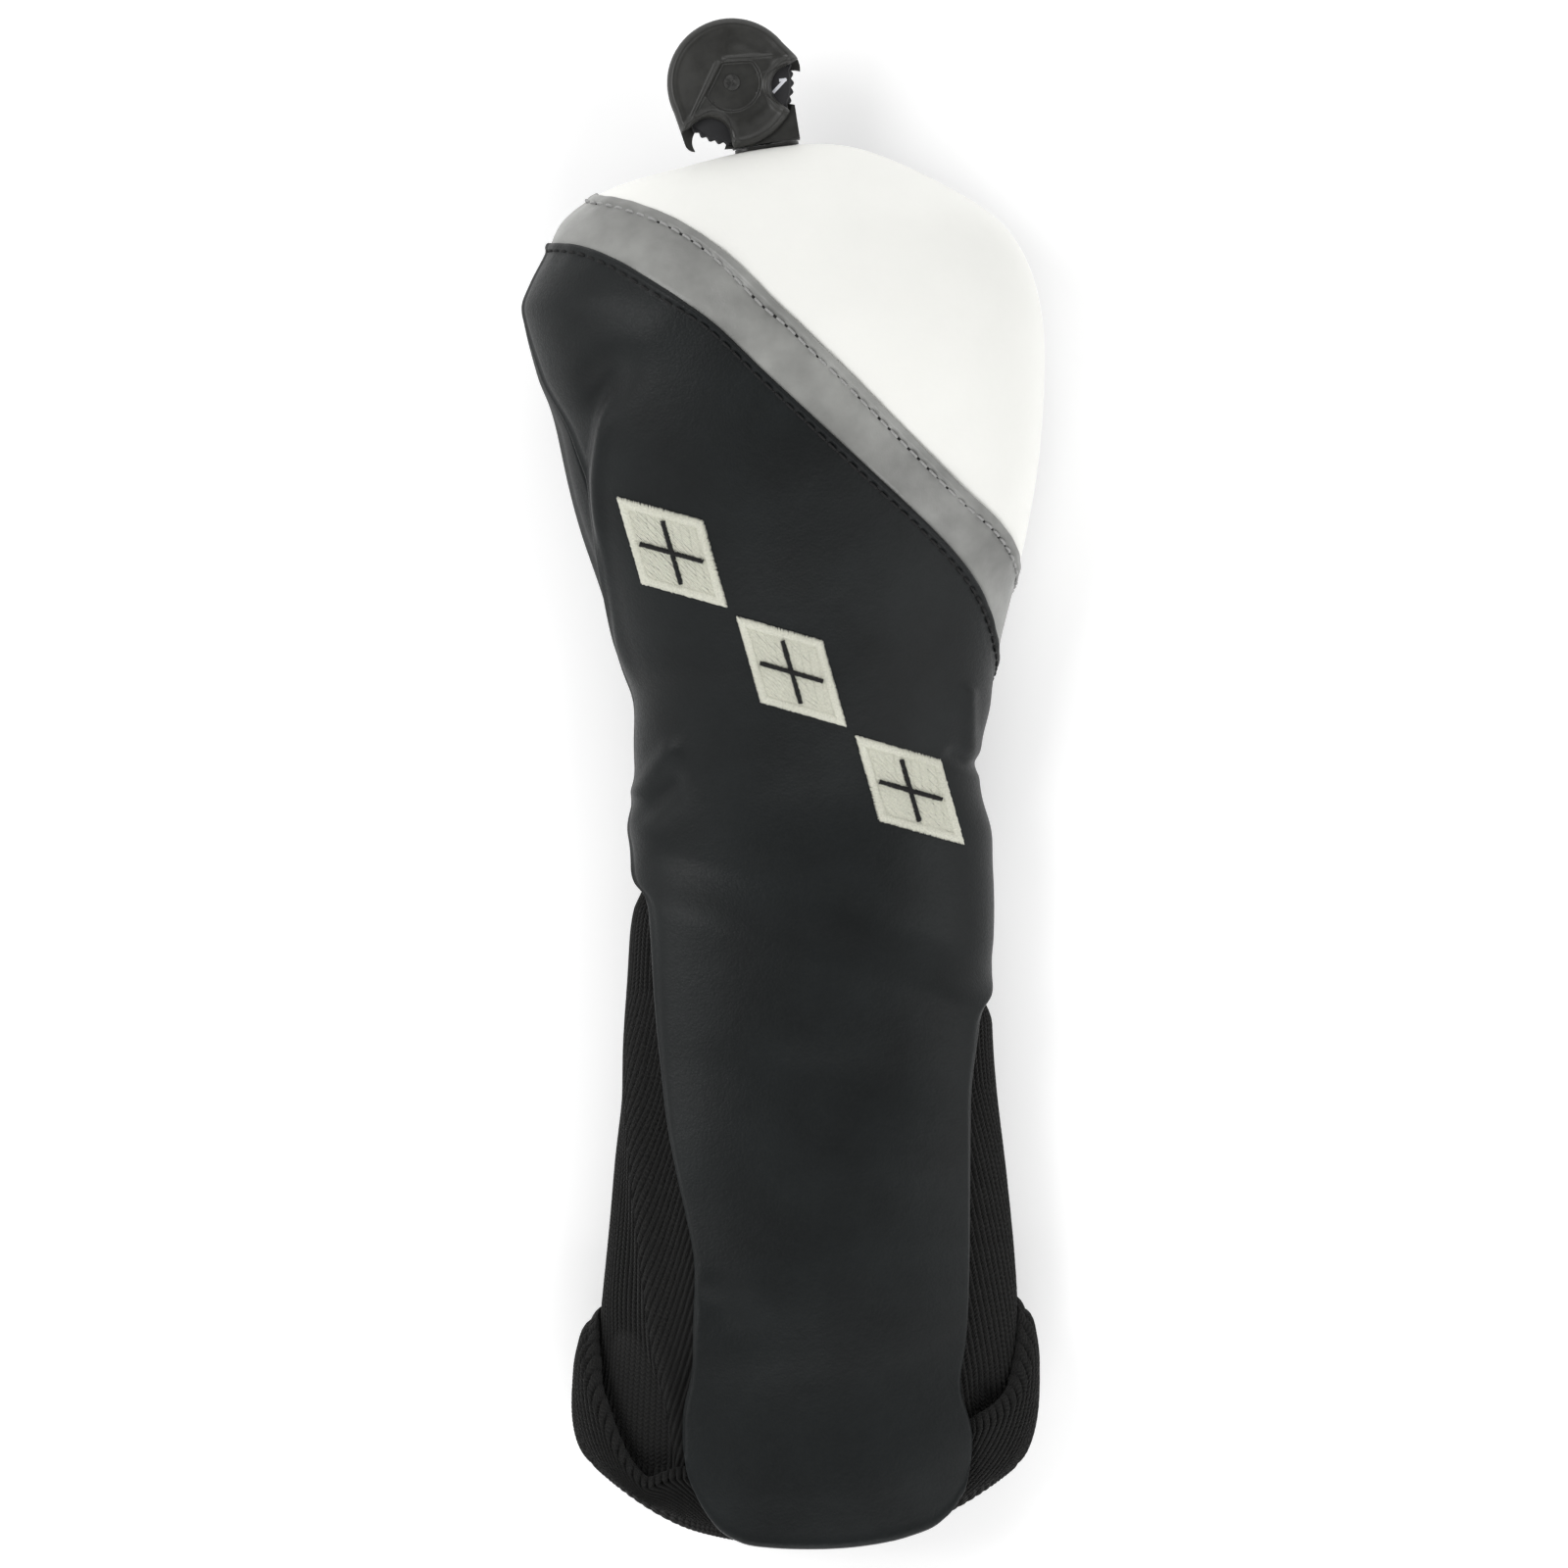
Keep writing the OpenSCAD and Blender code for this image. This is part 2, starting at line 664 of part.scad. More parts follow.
// Printed digits, each a few straight strokes on a 2 by 4 grid.
digit_t = 0.15;
stroke_w = 0.8;
digit_size = [0.95, 1.05];
function strokes(d) =
    d == 1 ? [[[1, 0], [1, 4]], [[1, 4], [0.2, 3.2]]]
    : d == 3 ? [[[0, 4], [2, 4]], [[2, 4], [2, 0]], [[0.4, 2], [2, 2]],
                [[0, 0], [2, 0]]]
    : d == 4 ? [[[0, 4], [0, 1.6]], [[0, 1.6], [2, 1.6]], [[1.6, 4], [1.6, 0]]]
    : d == 5 ? [[[2, 4], [0, 4]], [[0, 4], [0, 2]], [[0, 2], [2, 2]],
                [[2, 2], [2, 0]], [[2, 0], [0, 0]]]
    : [[[0, 4], [2, 4]], [[2, 4], [0.8, 0]]];
module stroke(from, to) {
    p = [from.x - 1, from.y - 2];
    q = [to.x - 1, to.y - 2];
    a = [p.x * digit_size.x, p.y * digit_size.y];
    b = [q.x * digit_size.x, q.y * digit_size.y];
    run = norm(b - a);
    translate([a.x, a.y, 0])
        rotate([0, 0, atan2(b.y - a.y, b.x - a.x)])
            translate([-stroke_w / 2, -stroke_w / 2, 0])
                cube([run + stroke_w, stroke_w, digit_t]);
}
digits = [1, 3, 4, 5, 7];
digit_r = 12.6;
digit_tilt = -40;
module dial_digits() {
    color(digit_white)
    at_pole() translate([pivot.x, pivot.y, dial_high])
        for (k = [0:len(digits) - 1])
            rotate([0, 0, notch_angles[0] + k * 360 / len(digits)])
                translate([digit_r, 0, 0]) rotate([0, 0, digit_tilt])
                    for (s = strokes(digits[k])) stroke(s[0], s[1]);
}
rivet_head_r = 2.1;
rivet_head_h = 0.6;
module pivot_rivet() {
    pocket_floor = front_high - pocket_deep;
    head_high = pocket_floor + rivet_head_h;
    color(steel)
    at_pole() difference() {
        union() {
            disc(rivet_head_r, pocket_floor, head_high);
            disc(rivet_r, rear_low - 1.2, pocket_floor + 0.1);
        }
        for (turn = [45, 135])
            translate([pivot.x, pivot.y, head_high])
                rotate([0, 0, turn])
                    cube([0.5, 2.8, 0.6], center = true);
    }
}
module rivet_cap() {
    color(steel)
    at_pole() difference() {
        disc(rivet_head_r, rear_low - 1.2, rear_low - 0.02);
        disc(rivet_r + running, rear_low - 2, rear_low + 1);
    }
}

front_panel();
accent_band();
crown_panel();
back_panel();
tongue_backing();
padding_front();
padding_back();
lining_front();
lining_back();
waist_elastic();
knit_sock();
band_stitching();
panel_stitching();
emblem_borders();
emblem_fills();
emblem_crosses();
base_plate();
base_washer();
shoulder_screw();
tag_rear_shell();
tag_front_shell();
number_dial();
dial_digits();
pivot_rivet();
rivet_cap();
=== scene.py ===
"""Looks of a golf driver head cover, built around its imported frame.

The cover lies on its back with its front up: +Y runs from the knit mouth to
the crown, +X is to the right and +Z is up. Lengths are in millimetres until a
mesh is made. A place on the cover is a pair (t, a): t counts the stations
along it, and a is the angle round it, 0 in front, 90 at the right and 180 at
the back.
"""
import math

import bpy
import numpy as np
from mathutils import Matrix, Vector


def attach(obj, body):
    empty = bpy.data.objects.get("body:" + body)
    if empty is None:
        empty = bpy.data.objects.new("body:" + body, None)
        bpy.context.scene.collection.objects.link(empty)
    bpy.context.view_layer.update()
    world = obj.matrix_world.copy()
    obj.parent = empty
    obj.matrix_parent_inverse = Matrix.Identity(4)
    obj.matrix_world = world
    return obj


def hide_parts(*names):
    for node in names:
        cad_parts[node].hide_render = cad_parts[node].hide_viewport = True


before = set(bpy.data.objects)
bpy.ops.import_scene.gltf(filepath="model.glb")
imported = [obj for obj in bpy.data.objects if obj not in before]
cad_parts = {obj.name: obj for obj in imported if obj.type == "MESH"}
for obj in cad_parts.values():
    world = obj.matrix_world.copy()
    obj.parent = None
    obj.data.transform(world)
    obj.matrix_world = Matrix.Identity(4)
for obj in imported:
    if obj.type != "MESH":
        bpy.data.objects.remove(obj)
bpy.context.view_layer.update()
MM = 0.001

# ---- Driving sizes ----
LEATHER = 1.6
LAYER_GAP = 0.7
PADDING = 1.6
LINING = 1.6
ELASTIC = 1.2
KNIT = 2.2
BACKING = 1.1
CUFF = 5.8
CUFF_UNDER_TONGUE = 3.2
RIBS = 150
RIB_HEIGHT = 1.1
CUFF_CLEARANCE = 0.3
THREAD_R = 0.34
STITCH_LENGTH = 2.9
STITCH_PITCH = 3.8
# Radius of the dark tubes painted as shade in the needle holes.
HOLE_SHADE_R = 0.37

# ---- The outer form ----
# The form closes at its pole, where the tag stands, tilted by so many degrees.
POLE = np.array([-4.5, 168.0, 38.0])
POLE_TILT = 9
# One station is [left x, left y, right x, right y, front z, seam z, back z,
# sag], as wide as the cover is at that place.
STATIONS = np.array([
    [-52, -187, 62, -185, 30, 17, -7, 15],
    [-50.5, -166, 62, -164, 34, 19, -7, 7],
    [-48.5, -138, 61.5, -138, 40, 20, -7, 0],
    [-45, -104, 59, -104, 41, 20, -7, 0],
    [-42, -64, 55, -64, 42, 21, -7, 0],
    [-40, -26, 55.5, -26, 45, 22, -7, 0],
    [-39.5, 6, 52, 4, 50, 24, -7, 0],
    [-45, 36, 57, 36, 59, 28, -7, 0],
    [-54, 66, 64, 66, 69, 33, -7, 0],
    [-62, 96, 68, 94, 76, 36, -7, 0],
    [-69, 126, 68, 124, 78, 38, -7, 0],
    [-63, 144, 60, 145, 72, 38, -4, 0],
    [-48, 156, 43, 158, 61, 38, 7, 0],
    [-25, 163.5, 18, 168, 49, 38, 25, 0],
    [POLE[0], POLE[1], POLE[0], POLE[1], POLE[2], POLE[2], POLE[2], 0]])
LAST = len(STATIONS) - 1
FRONT_ROUND = 2.3
BACK_ROUND = 2.4
ROUNDING = 5.0
CUFF_RISE = CUFF_UNDER_TONGUE + CUFF_CLEARANCE
# Small pushes of the outline, as (side, y, spread, outward millimetres).
PUSHES = [
    (-1, 144, 8, -1.6), (-1, 138, 6, -2.2), (-1, 131, 6, -1.2), (-1, 126, 3.5, 0.6),
    (-1, 70, 22, 1.0), (-1, 25, 5, -0.8), (-1, 20, 8, -1.7), (-1, -10, 7, 1.7),
    (-1, -28, 7, -1.4), (-1, -82, 14, -1.0), (-1, -189, 10, -1.8), (1, 20, 6, 0.8),
    (1, 6, 2.2, -0.7), (1, -12, 7, 1.3), (1, -52, 6, -1.2), (1, -190, 9, -1.0)]


def past_pole():
    """The last station before the pole, carried over to its other side."""
    s = STATIONS[-2]
    return np.array([s[2], s[3], s[0], s[1], 2 * POLE[2] - s[4], s[5],
                     2 * POLE[2] - s[6], s[7]])


EXTENDED = np.vstack([2 * STATIONS[0] - STATIONS[1], STATIONS, past_pole()])


def cosd(a):
    return np.cos(np.radians(a))


def sind(a):
    return np.sin(np.radians(a))


def smooth(x):
    """A smooth step from 0 to 1."""
    x = np.clip(x, 0, 1)
    return x * x * (3 - 2 * x)


def hump(x, spread):
    return np.exp(-(x / spread) ** 2)


def floats(*values):
    """Arrays of floats, stretched to one shape."""
    return np.broadcast_arrays(*(np.asarray(v, float) for v in values))


def station(t):
    """The station's row at t, on a smooth curve through the rows."""
    i = np.clip(np.floor(t).astype(int), 0, LAST - 1)
    u = (t - i)[..., None]
    a, b, c, d = (EXTENDED[i + k] for k in range(4))
    return 0.5 * (2 * b + (c - a) * u + (2 * a - 5 * b + 4 * c - d) * u ** 2
                  + (3 * b - a - 3 * c + d) * u ** 3)


def floor_at(y):
    """Height of the form's back, which the cuff lifts off the table."""
    return CUFF_RISE * smooth((-118 - y) / 25)


def rounded_max(a, b):
    near = np.clip(ROUNDING - np.abs(a - b), 0, None)
    return np.maximum(a, b) + near ** 2 / (4 * ROUNDING)


def form(t, a):
    """Points of the smooth outer form at t and a, which are arrays."""
    t, a = floats(t, a)
    s = station(t)
    u = sind(a)
    front = cosd(a) >= 0
    left, right = s[..., 0].copy(), s[..., 2].copy()
    for side, y, spread, out in PUSHES:
        if side < 0:
            left -= out * hump(s[..., 1] - y, spread)
        else:
            right += out * hump(s[..., 3] - y, spread)
    power = np.where(front, FRONT_ROUND, BACK_ROUND)
    bow = np.clip(1 - np.abs(u) ** power, 0, None) ** (1 / power)
    y = ((s[..., 1] + s[..., 3]) / 2 + u * (s[..., 3] - s[..., 1]) / 2
         - s[..., 7] * (1 - u * u))
    back = rounded_max(floor_at(y), s[..., 5] - (s[..., 5] - s[..., 6]) * bow)
    z = np.where(front, s[..., 5] + (s[..., 4] - s[..., 5]) * bow, back)
    return np.stack([(left + right) / 2 + u * (right - left) / 2, y, z], -1)


def unit(v):
    return v / np.linalg.norm(v, axis=-1, keepdims=True)


def outward(t, a):
    dt, da = 0.02, 1.0
    return unit(np.cross(form(t + dt, a) - form(t - dt, a),
                         form(t, a - da) - form(t, a + da)))


def raised(t, a, lift):
    """The form moved out by lift, and never below the table."""
    t, a = floats(t, a)
    p = form(t, a) + outward(t, a) * np.asarray(lift)[..., None]
    p[..., 2] = np.maximum(p[..., 2], 0)
    return p


def t_at(a, y):
    """The station number where the section at angle a reaches y."""
    a, y = floats(a, y)
    low, high = np.full(a.shape, -0.3), np.full(a.shape, float(LAST))
    for _ in range(26):
        mid = (low + high) / 2
        below = form(mid, a)[..., 1] < y
        low, high = np.where(below, mid, low), np.where(below, high, mid)
    return (low + high) / 2


# ---- Seam lines ----
# The band's two edges, as (angle, y).
BAND_TOP = [
    (-105, 158), (-90, 156), (-32, 149), (-14, 138), (-2, 126), (9, 112), (25, 93.5),
    (43, 78), (60, 69), (82, 59), (105, 52)]
BAND_BOTTOM = [
    (-105, 145), (-90, 143), (-55, 140), (-34, 132.5), (-16, 120), (-5, 106), (10, 89),
    (18, 81), (36, 66), (53, 54), (78, 38), (105, 28)]
# Where the front panel meets the back panel at the left, as (y, angle).
LEFT_SEAM = [
    (-26, -80), (-14, -98), (6, -96), (27, -90), (38, -83), (51, -73), (64, -66), (78, -63),
    (88, -71), (98, -77), (113, -81), (126, -84), (150, -86)]
# The tongue's edges seen from the front, as (y, x).
TONGUE_LEFT = [
    (-204, -27), (-177, -27), (-168, -27.3), (-154, -24.4), (-140, -24.4), (-128, -23.9),
    (-117, -25.7), (-104, -28.6), (-91, -31.2), (-75, -33.3), (-52, -35.6), (-36, -36.7),
    (-26, -37.5)]
TONGUE_RIGHT = [
    (-204, 50), (-182, 49.6), (-174, 50.7), (-168, 49.7), (-160, 46.8), (-149, 48.6),
    (-134, 49.4), (-117, 49.7), (-95, 49.9), (-81, 50.2), (-67, 52), (-56, 53.2)]
# The rim of the turned-up cuff, as (angle, y).
CUFF_RIM = [
    (-180, -144), (-110, -143), (-90, -145), (-80, -152), (-70, -161.5), (-64, -167.5),
    (-58, -175), (-52, -182), (-46, -186), (-40, -184.5), (-34, -183.5), (-20, -185),
    (10, -184), (40, -176), (52, -170), (60, -167), (71, -161), (80, -152), (90, -141),
    (110, -140), (180, -144)]
LEFT_END = -86
RIGHT_END = 105


def curve(points):
    """A smooth curve through points that doesn't overshoot them, as a
    function, flat past its ends."""
    x, y = np.array(points, float).T
    secant = np.diff(y) / np.diff(x)
    before = np.concatenate([secant[:1], secant])
    after = np.concatenate([secant, secant[-1:]])
    steepest = 2.5 * np.minimum(np.abs(before), np.abs(after)) * (before * after > 0)
    slope = np.clip(np.gradient(y, x), -steepest, steepest)

    def at(q):
        q = np.clip(q, x[0], x[-1])
        i = np.clip(np.searchsorted(x, q) - 1, 0, len(x) - 2)
        h = x[i + 1] - x[i]
        u = (q - x[i]) / h
        bend = (1 - u) * slope[i] - u * slope[i + 1]
        return y[i] + (y[i + 1] - y[i]) * smooth(u) + h * u * (1 - u) * bend
    return at


band_top = curve(BAND_TOP)
band_bottom = curve(BAND_BOTTOM)
cuff_rim = curve(CUFF_RIM)


def turned(a):
    """An angle brought to between -180 and 180."""
    return (np.asarray(a, float) + 180) % 360 - 180


def neck_seam(a):
    return -37 - 15 * sind(a)


# ---- Relief: how the leather stands off the smooth form ----
def segment(x, y, p, q):
    """Distance across the line from p to q, positive to its right, and the
    share of the way along it."""
    p, q = np.array(p, float), np.array(q, float)
    d = (q - p) / np.linalg.norm(q - p)
    rx, ry = x - p[0], y - p[1]
    return rx * d[1] - ry * d[0], (rx * d[0] + ry * d[1]) / np.linalg.norm(q - p)


def crease(x, y, p, q, spread, height):
    """A straight ridge or furrow from p to q that fades out at its ends."""
    across, along = segment(x, y, p, q)
    beyond = np.linalg.norm(np.subtract(q, p)) * (np.abs(along - 0.5) - 0.5)
    return height * hump(across, spread) * hump(np.clip(beyond, 0, None), spread)


def dimple(x, y, middle, radii, turn, height):
    """A soft oval bump, turned by so many degrees."""
    c, s = cosd(turn), sind(turn)
    dx, dy = x - middle[0], y - middle[1]
    return height * np.exp(-((dx * c + dy * s) / radii[0]) ** 2
                           - ((dy * c - dx * s) / radii[1]) ** 2)


# The fold down the left side of the pocket, as (y, x).
fold_x = curve([
    (24, -38.5), (37, -43.5), (51, -46.6), (64, -48.2), (78, -49), (91, -47.6), (104, -45)])


def left_fold(x, y):
    """The ridge along the fold, and the fall of the leather beyond it."""
    d = x - fold_x(y)
    there = smooth((y - 22) / 16) * smooth((108 - y) / 18)
    ridge = 0.9 * hump(d, 1.8)
    fall = -2.8 * smooth(-d / 5)
    return there * (ridge + fall)


def soft_waves(x, y):
    """Slow unevenness of filled leather."""
    return (0.22 * np.sin(x / 17 + y / 29 + 0.7) + 0.18 * np.sin(y / 13 - x / 31)
            + 0.12 * np.sin(x / 9 - y / 11 + 2.1))


# Bumps and dents of the leather, as (middle, radii, turn, height).
DIMPLES = (
    # The pocket's left shoulder.
    ((-47, 104.5), (9, 5.2), 46, -3.6), ((-35, 118), (10, 6), 40, 0.8),
    # The waist.
    ((-37, -13), (5, 7), 0, 1.2), ((6, -8), (30, 10), 8, -0.7),
    # The dent in the tongue's left edge.
    ((-16, -138), (11, 6.5), -38, -1.8), ((-22, -131), (8, 3.6), -38, 0.7),
    ((-9, -132), (10, 7), -30, 0.3),
    # Slow waves of the tongue.
    ((8, -77), (26, 7), -6, -0.9), ((12, -98), (30, 11), 0, 0.6),
    ((22, -140), (24, 16), 10, -0.5))
# Pinches at the waist, left and right, as (from, to, spread, height).
CREASES = (((-30, 9), (-38, -2), 2.6, 1.3), ((-29, 0), (-37, -8), 3.2, -1.2),
           ((49, 24), (49.5, 7), 1.8, 1.0), ((45, 8), (52, 5), 2.2, -1.0))


def relief(t, a):
    """Outward millimetres at a spot on the leather."""
    p = form(t, a)
    x, y = p[..., 0], p[..., 1]
    front = smooth(cosd(a) * 4 + 0.9)
    r = left_fold(x, y) + sum(dimple(x, y, *spot) for spot in DIMPLES)
    r = r + sum(crease(x, y, *line) for line in CREASES)
    return front * (r + soft_waves(x, y)) + (1 - front) * 0.5 * soft_waves(x, y)


SOCK_RISE = LAYER_GAP + BACKING + LAYER_GAP + LEATHER


def tongue_rise(t, a):
    """How far the tongue rides above the form, over the knit and its cuff."""
    y = form(t, a)[..., 1]
    over_sock = SOCK_RISE * smooth((neck_seam(a) + 8 - y) / 18)
    over_cuff = CUFF_RISE * smooth((cuff_rim(turned(a)) + 30 - y) / 34)
    return over_sock + over_cuff


# ---- Places on the front panel ----
def spot_under(x, y, lift):
    """The spot (t, a) whose leather, raised by lift(t, a), lies at x, y."""
    x, y = floats(x, y)
    a = np.zeros(x.shape)
    t = t_at(a, y)
    fx, fy = x.copy(), y.copy()
    for _ in range(12):
        s = station(t)
        u = (2 * fx - s[..., 0] - s[..., 2]) / (s[..., 2] - s[..., 0])
        a = np.degrees(np.arcsin(np.clip(u, -0.99, 0.99)))
        t = t_at(a, fy)
        p = raised(t, a, lift(t, a))
        fx += 0.8 * (x - p[..., 0])
        fy += 0.8 * (y - p[..., 1])
    return t, a


def edge_angles(edge, seam_points):
    """The angle of the front panel's edge as a function of y: it follows the
    tongue's edge as seen from the front, and above that the seam."""
    ys = np.arange(-203.0, edge[-1][0] + 0.1, 3.0)
    _, angles = spot_under(curve(edge)(ys), ys, tongue_rise)
    points = np.array([*zip(ys, angles), *seam_points])
    a = points[:, 1]
    for _ in range(2):
        a[1:-1] = (a[:-2] + 2 * a[1:-1] + a[2:]) / 4
    return curve(points)


left_angle = edge_angles(TONGUE_LEFT, LEFT_SEAM[1:])
right_angle = edge_angles(TONGUE_RIGHT, [(-50, 88), (-44, 103), (-36, 105),
                                         (150, 105)])


# ---- Meshes from grids of points ----
def linked(name, data):
    obj = bpy.data.objects.new(name, data)
    bpy.context.collection.objects.link(obj)
    return obj


def grid_quads(rows, cols, closed=False):
    i, j = np.indices((rows - 1, cols if closed else cols - 1))
    k = (j + 1) % cols
    return np.stack([i * cols + j, i * cols + k, (i + 1) * cols + k,
                     (i + 1) * cols + j], -1).reshape(-1, 4)


def make_object(name, points, faces, material, body="cover", stands_for=(), uv=None):
    """A smooth-shaded mesh object from points in millimetres. Its material is
    a name in MATERIALS."""
    mesh = bpy.data.meshes.new(name)
    points = np.asarray(points, float).reshape(-1, 3) * MM
    mesh.from_pydata(points, [], faces.tolist() if hasattr(faces, "tolist") else faces)
    mesh.validate()
    mesh.polygons.foreach_set("use_smooth", np.ones(len(mesh.polygons), bool))
    if uv is not None:
        layer = mesh.uv_layers.new(name="weave")
        loops = np.empty(len(mesh.loops), int)
        mesh.loops.foreach_get("vertex_index", loops)
        layer.data.foreach_set("uv", np.asarray(uv, float)[loops].ravel())
    obj = linked(name, mesh)
    mesh.materials.append(MATERIALS[material])
    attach(obj, body)
    if stands_for:
        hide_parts(*stands_for)
    return obj


def closed_tube(name, rings, material, stands_for, body="cover", uv=None):
    """A mesh from loops of points, closed both along and round the loops."""
    n, m, _ = rings.shape
    faces = grid_quads(n + 1, m, closed=True) % (n * m)
    make_object(name, rings, faces, material, body, stands_for, uv)


def rim_quads(rows, cols):
    """Quads that join the edges of two grids stored one after the other."""
    n = rows * cols
    k = np.arange(n).reshape(rows, cols)
    edge = np.concatenate([k[0], k[1:, -1], k[-1, -2::-1], k[-2:0:-1, 0]])
    after = np.roll(edge, -1)
    return np.stack([after, edge, edge + n, after + n], -1)


def sheet_faces(rows, cols):
    top = grid_quads(rows, cols)
    under = top[:, ::-1] + rows * cols
    return np.vstack([top, under, rim_quads(rows, cols)])


def run_lengths(points, axis):
    """Length along each row or column of a grid of points, from its start."""
    step = np.linalg.norm(np.diff(points, axis=axis), axis=-1)
    pad = [(0, 0), (0, 0)]
    pad[axis] = (1, 0)
    return np.pad(np.cumsum(step, axis=axis), pad)


def path_lengths(points):
    return run_lengths(points[None], 1)[0]


def roll(d, radius):
    """How far a rounded edge has dropped at a distance d from the edge."""
    q = np.clip(radius - d, 0, radius)
    return radius - np.sqrt(radius ** 2 - q ** 2)


def crowded(n, ends=0.12):
    """Numbers from 0 to 1, closer together at both ends."""
    u = np.linspace(0, 1, n)
    return u - ends * np.sin(2 * np.pi * u)


def edge_distances(p):
    """Distances of each grid point from the left, right, low and high edge."""
    across, along = run_lengths(p, 1), run_lengths(p, 0)
    return (across, across[:, -1:] - across, along, along[-1:] - along)


def leather_sheet(name, t, a, lift, material, stands_for, radius=1.1,
                  thickness=LEATHER):
    """A sheet of leather with turned, rounded edges, raised by lift."""
    p = raised(t, a, lift)
    left, right, low, high = edge_distances(p)
    near = np.minimum(np.minimum(left, right), np.minimum(low, high))
    top = raised(t, a, lift - roll(near, radius))
    under = raised(t, a, lift - thickness)
    rows, cols = t.shape
    return make_object(name, np.concatenate([top.reshape(-1, 3), under.reshape(-1, 3)]),
                       sheet_faces(rows, cols), material, stands_for=stands_for)


# ---- Procedural materials ----
MATERIALS = {}


def add_node(tree, kind, inputs=None, **settings):
    """A new node, whose inputs are values or the sockets they are linked to."""
    node = tree.nodes.new(kind)
    for key, value in settings.items():
        setattr(node, key, value)
    for key, value in (inputs or {}).items():
        if isinstance(value, bpy.types.NodeSocket):
            tree.links.new(value, node.inputs[key])
        else:
            node.inputs[key].default_value = value
    return node


class Nodes:
    """A material, kept in MATERIALS by its name, with short calls to add
    nodes and links to it."""

    def __init__(self, name, colour, roughness, **settings):
        material = bpy.data.materials.new(name)
        material.use_nodes = True
        MATERIALS[name] = material
        self.tree = material.node_tree
        self.shader = self.tree.nodes["Principled BSDF"]
        self.shader.inputs["Base Color"].default_value = (*colour, 1)
        self.own_colour = colour
        self.shader.inputs["Roughness"].default_value = roughness
        for key, value in settings.items():
            self.shader.inputs[key.replace("_", " ")].default_value = value
        self.place = self.tree.nodes.new("ShaderNodeTexCoord").outputs["Object"]

    def add(self, kind, inputs=None, **settings):
        return add_node(self.tree, kind, inputs, **settings)

    def noise(self, scale, detail=3.0, roughness=0.55):
        inputs = dict(Vector=self.place, Scale=scale, Detail=detail, Roughness=roughness)
        return self.add("ShaderNodeTexNoise", inputs).outputs["Fac"]

    def cells(self, scale, smoothness=0.6):
        inputs = dict(Vector=self.place, Scale=scale, Smoothness=smoothness)
        node = self.add("ShaderNodeTexVoronoi", inputs, feature="SMOOTH_F1")
        return node.outputs["Distance"]

    def maths(self, operation, a, b=0.0):
        return self.add("ShaderNodeMath", {0: a, 1: b}, operation=operation).outputs[0]

    def span(self, value, low, high, to_low, to_high):
        inputs = {"Value": value, "From Min": low, "From Max": high, "To Min": to_low,
                  "To Max": to_high}
        return self.add("ShaderNodeMapRange", inputs).outputs["Result"]

    def tint(self, value, low, high, dark, light):
        """Shades the material's own colour by a value between low and high."""
        share = self.span(value, low, high, 0, 1)
        node = self.add("ShaderNodeMix", data_type="RGBA")
        self.tree.links.new(share, node.inputs["Factor"])
        ends = [socket for socket in node.inputs if socket.type == "RGBA"]
        for socket, k in zip(ends, (dark, light)):
            socket.default_value = (*(min(1.0, c * k) for c in self.own_colour), 1)
        result = next(socket for socket in node.outputs if socket.type == "RGBA")
        self.tree.links.new(result, self.shader.inputs["Base Color"])

    def roughness(self, value):
        self.tree.links.new(value, self.shader.inputs["Roughness"])

    def bump(self, height, distance, strength=1.0):
        inputs = dict(Height=height, Distance=distance * MM, Strength=strength)
        bump = self.add("ShaderNodeBump", inputs)
        before = self.shader.inputs["Normal"].links
        if before:
            self.tree.links.new(before[0].from_socket, bump.inputs["Normal"])
        self.tree.links.new(bump.outputs["Normal"], self.shader.inputs["Normal"])


def leather(name, colour, roughness, grain, depth, contrast=0.10, **settings):
    """Coated leather: fine pebbled grain, pores and slow unevenness."""
    n = Nodes(name, colour, roughness, **settings)
    n.tint(n.noise(45, 4), 0.3, 0.7, 1 - contrast, 1 + contrast)
    pebbles = n.cells(grain)
    pores = n.noise(grain * 2.6, 2)
    height = n.maths("ADD", n.maths("MULTIPLY", pebbles, 0.8),
                     n.maths("MULTIPLY", pores, 0.5))
    n.bump(n.noise(160, 3), 0.25, 0.35)
    n.bump(n.noise(520, 3), 0.10, 0.6)
    n.bump(height, depth, 0.8)
    n.roughness(n.span(n.maths("ADD", pebbles, pores), 0.3, 1.3,
                       roughness - 0.06, roughness + 0.08))


def thread(name, colour, roughness=0.5, sheen=0.25):
    """Twisted, slightly shiny sewing thread."""
    n = Nodes(name, colour, roughness, Sheen_Weight=sheen, Sheen_Roughness=0.4)
    fuzz = n.noise(2600, 2)
    n.tint(fuzz, 0.3, 0.7, 0.82, 1.12)
    n.bump(fuzz, 0.06, 0.7)


